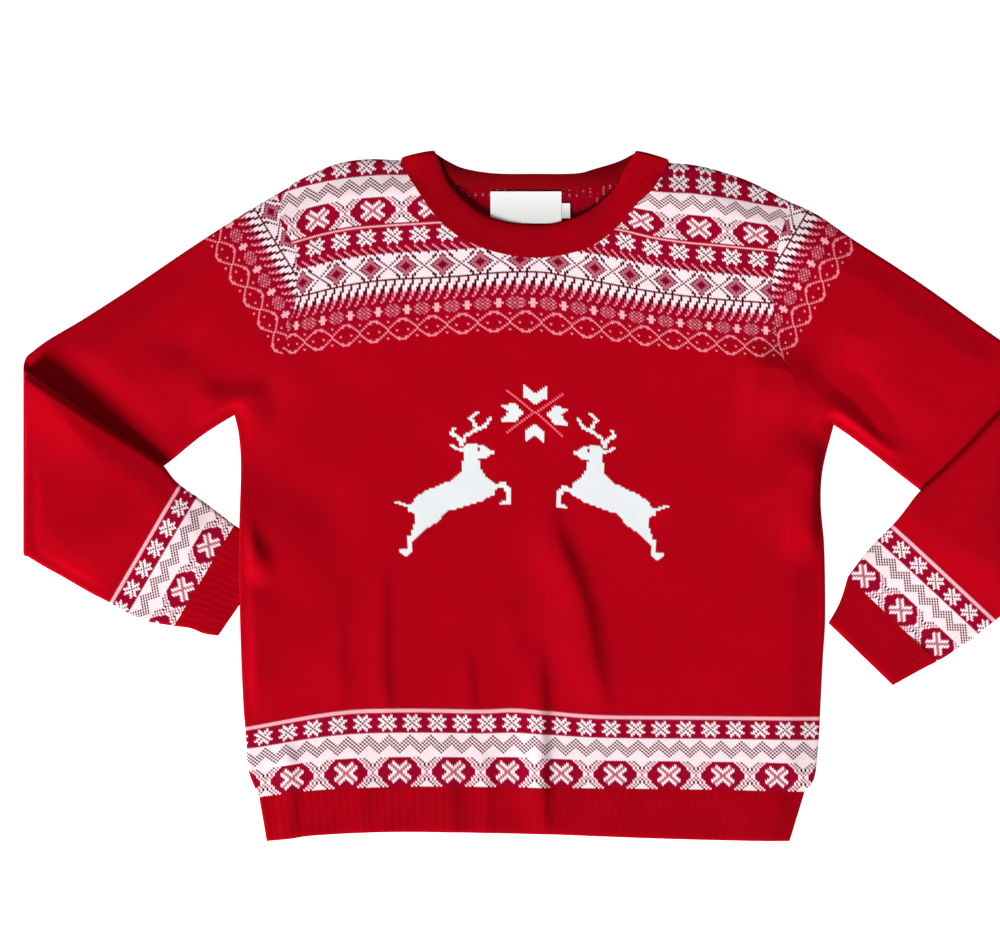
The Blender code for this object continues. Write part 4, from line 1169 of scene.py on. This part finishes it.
def figure_stops(first):
    stops = []
    for row in range(first, first + BLOCK):
        cells = [figure_yarn(row, column) for column in range(FIGURE_COLUMNS)]
        stops.append(((row - first) / BLOCK,
                      tuple(masks(cells[start:start + BITS]) for start in range(0, FIGURE_COLUMNS, BITS))))
    return stops


CUFF_OVALS = 3      # wales by which the ovals of the cuffs stand off those of the hem
HEM_COURSES = 43    # depth of the hem's band
HEM_ROW = 65        # row of the chart at the hem seam
YOKE_ROWS = 104     # rows of the yoke up to the shoulder
YOKE_AGAIN = 10     # rows by which the chart falls back above them
PALETTE = (shade(156, 4, 40), shade(255, 232, 238), shade(92, 6, 32), shade(196, 104, 122),
           shade(246, 140, 158), shade(255, 180, 188), shade(132, 6, 40), shade(122, 0, 26))
DEER_WHITE, FLAKE_PINK = shade(236, 240, 242), shade(255, 110, 130)
# RIB_PAINTED_SHADE is painted shade: a much darker red for the inner faces of the neck ribbing, standing in
# for the shade inside the neck.
PLAIN_RED, RIB_RED, RIB_PAINTED_SHADE = (((173, 0, 18), (183, 0, 21)), ((172, 0, 18), (182, 0, 21)),
                                  ((118, 2, 10), (128, 2, 12)))


def stitches_of(tree):
    """Wale, course, distance from the stitch's middle (0 to 0.5), and how far up it (0 to 1)."""
    wale_place, course_place = tree.stitch_place()
    wale = math.floor(wale_place)
    across = wale_place - wale - 0.5
    spread = abs(across)
    slanted = spread.times_plus(-1.3, course_place) + across * 0.3
    course = math.floor(slanted)
    return wale, course, spread, slanted - course


def stitch_relief(spread, up):
    """Height of a stitch's two legs over the grooves between them."""
    leg = up * (1.0 - up) * 4.0
    groove = spread * (0.5 - spread) * 16.0
    groove = groove ** 0.6
    return leg ** 0.5 * groove


def bits(tree, mask, power):
    """The bit of each mask in the column whose power of two is given."""
    moved = tree.vector("SCALE", tree.vector("ADD", mask, (HALF_BIT,) * 3))
    tree.join(power, moved.node.inputs["Scale"])
    rest = tree.vector("FRACTION", moved)
    return tree.vector("FLOOR", tree.vector("ADD", rest, rest))


def pick_block(place, ramps, choose):
    """The ramp in whose unit place lies."""
    chosen = ramps[0]
    for number, ramp in enumerate(ramps[1:], 1):
        chosen = choose(place > float(number), chosen, ramp)
    return chosen


def band_colour(tree, wale, course, yoke_course, sleeve):
    """Yarn colour of the patterned bands, and 1 inside them."""
    hem = course < HEM_COURSES - 0.5
    in_hem = hem * (course > -0.5)
    above = course - float(yoke_course)
    in_yoke = above > -0.5
    again = (above - float(YOKE_AGAIN)).at_most(float(YOKE_ROWS))
    above = tree.pick(above > YOKE_ROWS + 0.5, above, again)
    row = tree.pick(hem, above, course + float(HEM_ROW)).at_least(0.0).at_most(CHART_ROWS - 1.0)
    stops = [(first / 128, (half / 16, right / 32, left / 32, at_hem / 32))
             for first, half, right, left, at_hem, *_ in BANDS]
    facts, at_hem = tree.ramp((row + 0.7) / 128.0, stops)
    half, right, left = tree.parts(facts)
    phase = right if sleeve else tree.pick(wale > 0.0, right, left)
    if sleeve:
        at_hem = ((row > 64.5) * (row < 80.5)).times_plus(-CUFF_OVALS / 32, at_hem)
    place = tree.pick(hem, phase, at_hem).times_plus(-32.0, wale)
    half = half * 16.0
    column = round(tree.pick(half < 4.5, place.folded_by(half), place % 4.0))
    block = (row + 0.5) / float(BLOCK)
    local = block.fraction()
    ramps = [tree.ramp(local, chart_stops(first))[0] for first in range(0, CHART_ROWS, BLOCK)]
    chart = bits(tree, pick_block(block, ramps, tree.blend), 2.0 ** column)
    code = Number(tree, tree.add("VectorMath", chart, (1.0, 2.0, 4.0), operation="DOT_PRODUCT", out=1))
    colour = tree.ramp(code.times_plus(1 / 8, 1 / 16),
                       [(number / 8, yarn) for number, yarn in enumerate(PALETTE)])[0]
    open_ground = (1.0 - row / float(OPEN_ROWS)).at_least(0.0) * (code < 0.5)
    return colour, in_hem.at_least(in_yoke) - open_ground


def figure_share(tree, wale, course):
    """1 in the white of the deer and snowflake, and 1 in the thin cross."""
    off = wale + 0.5 - FIGURE_WALE
    row = course - float(FIGURE_COURSE) - (off > DEER_START) * float(DEER_LIFT)
    column = round(abs(off) - 0.5)
    in_rows = (row > -0.5) * (row < FIGURE_ROWS - 0.5)
    block = (row + 0.5) / float(BLOCK)
    local = block.fraction()
    ramps = [tree.ramp(local, figure_stops(first)) for first in range(0, FIGURE_ROWS, BLOCK)]
    first_masks = tree.parts(pick_block(block, [colour for colour, alpha in ramps], tree.blend))
    mask = pick_block(block, [alpha for colour, alpha in ramps], tree.pick)
    part = math.floor((column + 0.5) / float(BITS))
    for number in (2, 1, 0):
        mask = tree.pick(part < number + 0.5, mask, first_masks[number])
    power = 2.0 ** part.times_plus(-float(BITS), column)
    filled = (((mask + HALF_BIT) * power).fraction() > 0.5) * (column < FIGURE_COLUMNS - 0.5)
    cross = abs(abs(row - float(FLAKE_ROW)) - column) < 0.5
    return filled * in_rows, cross * (column < FLAKE_REACH + 0.5)


def knit_material(name, yoke_course=YOKE_COURSE, sleeve=False, figure=False):
    """Stocking stitch with the bands, and with the deer and snowflake on the front."""
    tree = Tree(name)
    wale, course, spread, up = stitches_of(tree)
    band, patterned = band_colour(tree, wale, course, yoke_course, sleeve)
    colour = tree.blend(patterned, tree.mottled(14.0, *PLAIN_RED), band)
    if figure:
        white, cross = figure_share(tree, wale, course)
        colour = tree.blend(white, tree.blend(cross, colour, FLAKE_PINK), DEER_WHITE)
    relief = stitch_relief(spread, up)
    fibre = tree.noise(tree.place(), FIBRE_SCALE, 3.0)
    # Painted shade: the colour darkens towards a deep red in the grooves between the stitch legs, less on
    # light yarns; the fibre noise varies it at random.
    groove_shade_and_fuzz = relief.times_plus(-0.17, fibre.times_plus(-0.16, 0.27)).at_least(0.0)
    green = Number(tree, tree.add("SeparateColor", colour, out=1))
    groove_shade_and_fuzz = groove_shade_and_fuzz * green.times_plus(-0.7, 1.0)
    colour = tree.blend(groove_shade_and_fuzz, colour, shade(96, 0, 16))
    return tree.finish(fibre.times_plus(0.5, relief), 0.0002, Base_Color=colour)


def rib_material(name, reds=RIB_RED):
    tree = Tree(name)
    wale, course, spread, up = stitches_of(tree)
    relief = stitch_relief(spread, up)
    fibre = tree.noise(tree.place(), FIBRE_SCALE, 3.0)
    in_rib = wale % float(RIB_WALES)
    groove = (in_rib > RIB_WALES - 1.5).at_least(in_rib < 0.5)
    # Painted shade: the colour darkens in the grooves between the stitch legs and a little more in the
    # recessed wales of the ribbing; the fibre noise varies it at random.
    groove_shade_and_fuzz = (relief.times_plus(-0.26, fibre.times_plus(-0.16, 0.34)) + groove * 0.03).at_least(0.0)
    colour = tree.blend(groove_shade_and_fuzz, tree.mottled(30.0, *reds), shade(84, 0, 14))
    return tree.finish(fibre.times_plus(0.5, relief), 0.0003, Base_Color=colour)


def wrong_side_material(name):
    """Back of the knitting: rows of small bumps, with loose pink strands behind the yoke."""
    tree = Tree(name)
    wale_place, course_place = tree.stitch_place()
    row = (course_place + tree.noise(tree.place(), 240.0) * 0.5).fraction()
    ridge = row * (1.0 - row) * 4.0
    relief = ridge * (wale_place * (2 * math.pi)).sine().times_plus(0.3, 0.7)
    # Painted shade: the colour goes from a dark red in the hollows between the rows of bumps to a lighter
    # red on their tops.
    plain = tree.ramp(relief, ((0.0, shade(104, 0, 18)), (0.8, shade(168, 0, 28))), "LINEAR")[0]
    behind_yoke = course_place > YOKE_COURSE + 80.0
    group = math.floor(course_place) % 11.0 < 8.5
    patch = tree.noise(tree.add("UVMap", uv_map="stitch"), 0.16) > 0.52
    dots = math.floor(wale_place) % 3.0 < 0.5
    strands = behind_yoke * group * (patch * (ridge > 0.45)) * (dots * 0.6)
    return tree.finish(relief, 0.0005, Base_Color=tree.blend(strands, plain, shade(214, 100, 112)))


def satin_material(name):
    tree = Tree(name)
    wave = tree.tree.nodes.new("ShaderNodeTexWave")
    wave.inputs["Scale"].default_value = 900.0
    wave.inputs["Distortion"].default_value = 0.6
    tree.join(tree.place(), wave.inputs["Vector"])
    # Painted shade: the white is darker in the low lines of the weave, following the wave that also gives
    # its bump.
    shaded_whites = ((0.0, shade(236, 234, 232)), (1.0, shade(250, 249, 248)))
    colour = tree.ramp(wave.outputs[0], shaded_whites, "LINEAR")[0]
    return tree.finish(wave.outputs[0], 0.00005, Base_Color=colour, Roughness=0.55, Specular_IOR_Level=0.3)


def floor_material(name):
    tree = Tree(name)
    return tree.set({"Base_Color": tree.mottled(3.0, (247, 247, 247), (250, 250, 250)), "Roughness": 1.0,
                     "Specular_IOR_Level": 0.0, "Emission_Color": (1, 1, 1, 1), "Emission_Strength": 0.92})


# ---- pieces ----------------------------------------------------------------------

def make_tag(name, place, satin, node, flat):
    """Label or tab: flat at its sewn upper edge, its lower edge standing off the cloth."""
    low_x, high_x, low_y, high_y = place
    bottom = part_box(node)[0][2] / MM
    x, y = np.meshgrid(np.linspace(low_x, high_x, 15), np.linspace(low_y, high_y, 11))
    plan = np.stack((x, y), axis=-1)
    base = bottom + LABEL_LIFT * ((high_y - y) / (high_y - low_y)) ** 2
    make_wall(name, with_height(plan, base + LABEL_THICK), with_height(plan, base), plan,
              (satin, satin), node=node, flat=flat, rests_on=["back_knit"], slot="label_white")


front_knit = knit_material("front_knit", figure=True)
back_knit = knit_material("back_knit")
sleeve_knit = knit_material("sleeve_knit", CAP_COURSE, sleeve=True)
wrong_side, rib, satin = wrong_side_material("wrong_side"), rib_material("rib"), satin_material("satin")
make_body((front_knit, back_knit), wrong_side)
make_hem(rib, wrong_side)
for side in SIDES:
    make_sleeve(side, sleeve_knit, wrong_side)
    make_cuff(side, rib, wrong_side)
make_neck(rib, rib_material("rib_painted_shade", RIB_PAINTED_SHADE))
make_tag("neck_label_cloth", LABEL, satin, "neck_label", (0.066, 0.0305))
make_tag("size_tab_cloth", TAB, satin, "size_tab", None)

# ---- room ------------------------------------------------------------------------

FLOOR_HALF = 3.0
CAMERA_PLACE, LENS = (-0.0321, 0.0307, 3.0), 116.13
LIGHT_RUN = (0.55, 0.83, -0.46)     # low, from the wearer's right and the hem
LIGHT_POWER, LIGHT_ANGLE, SKY_POWER = 7.0, math.radians(21), 0.22

floor_mesh = bpy.data.meshes.new("floor")
corners = [(x * FLOOR_HALF, y * FLOOR_HALF, 0) for x, y in ((-1, -1), (1, -1), (1, 1), (-1, 1))]
floor_mesh.from_pydata(corners, [], [(0, 1, 2, 3)])
floor_mesh.materials.append(floor_material("floor"))
placed("floor", floor_mesh)

camera = placed("camera", bpy.data.cameras.new("camera"))
camera.data.sensor_width = 36
camera.data.lens = LENS
camera.data.clip_end = 20
camera.location = CAMERA_PLACE
bpy.context.scene.camera = camera
bpy.context.scene.view_settings.view_transform = "Standard"

world = bpy.data.worlds.new("studio")
world.use_nodes = True
sky = world.node_tree.nodes["Background"].inputs
sky["Color"].default_value, sky["Strength"].default_value = (1, 1, 1, 1), SKY_POWER
bpy.context.scene.world = world
light = placed("key", bpy.data.lights.new("key", "SUN"))
light.data.energy, light.data.angle = LIGHT_POWER, LIGHT_ANGLE
light.rotation_euler = Vector(LIGHT_RUN).to_track_quat("-Z", "Y").to_euler()
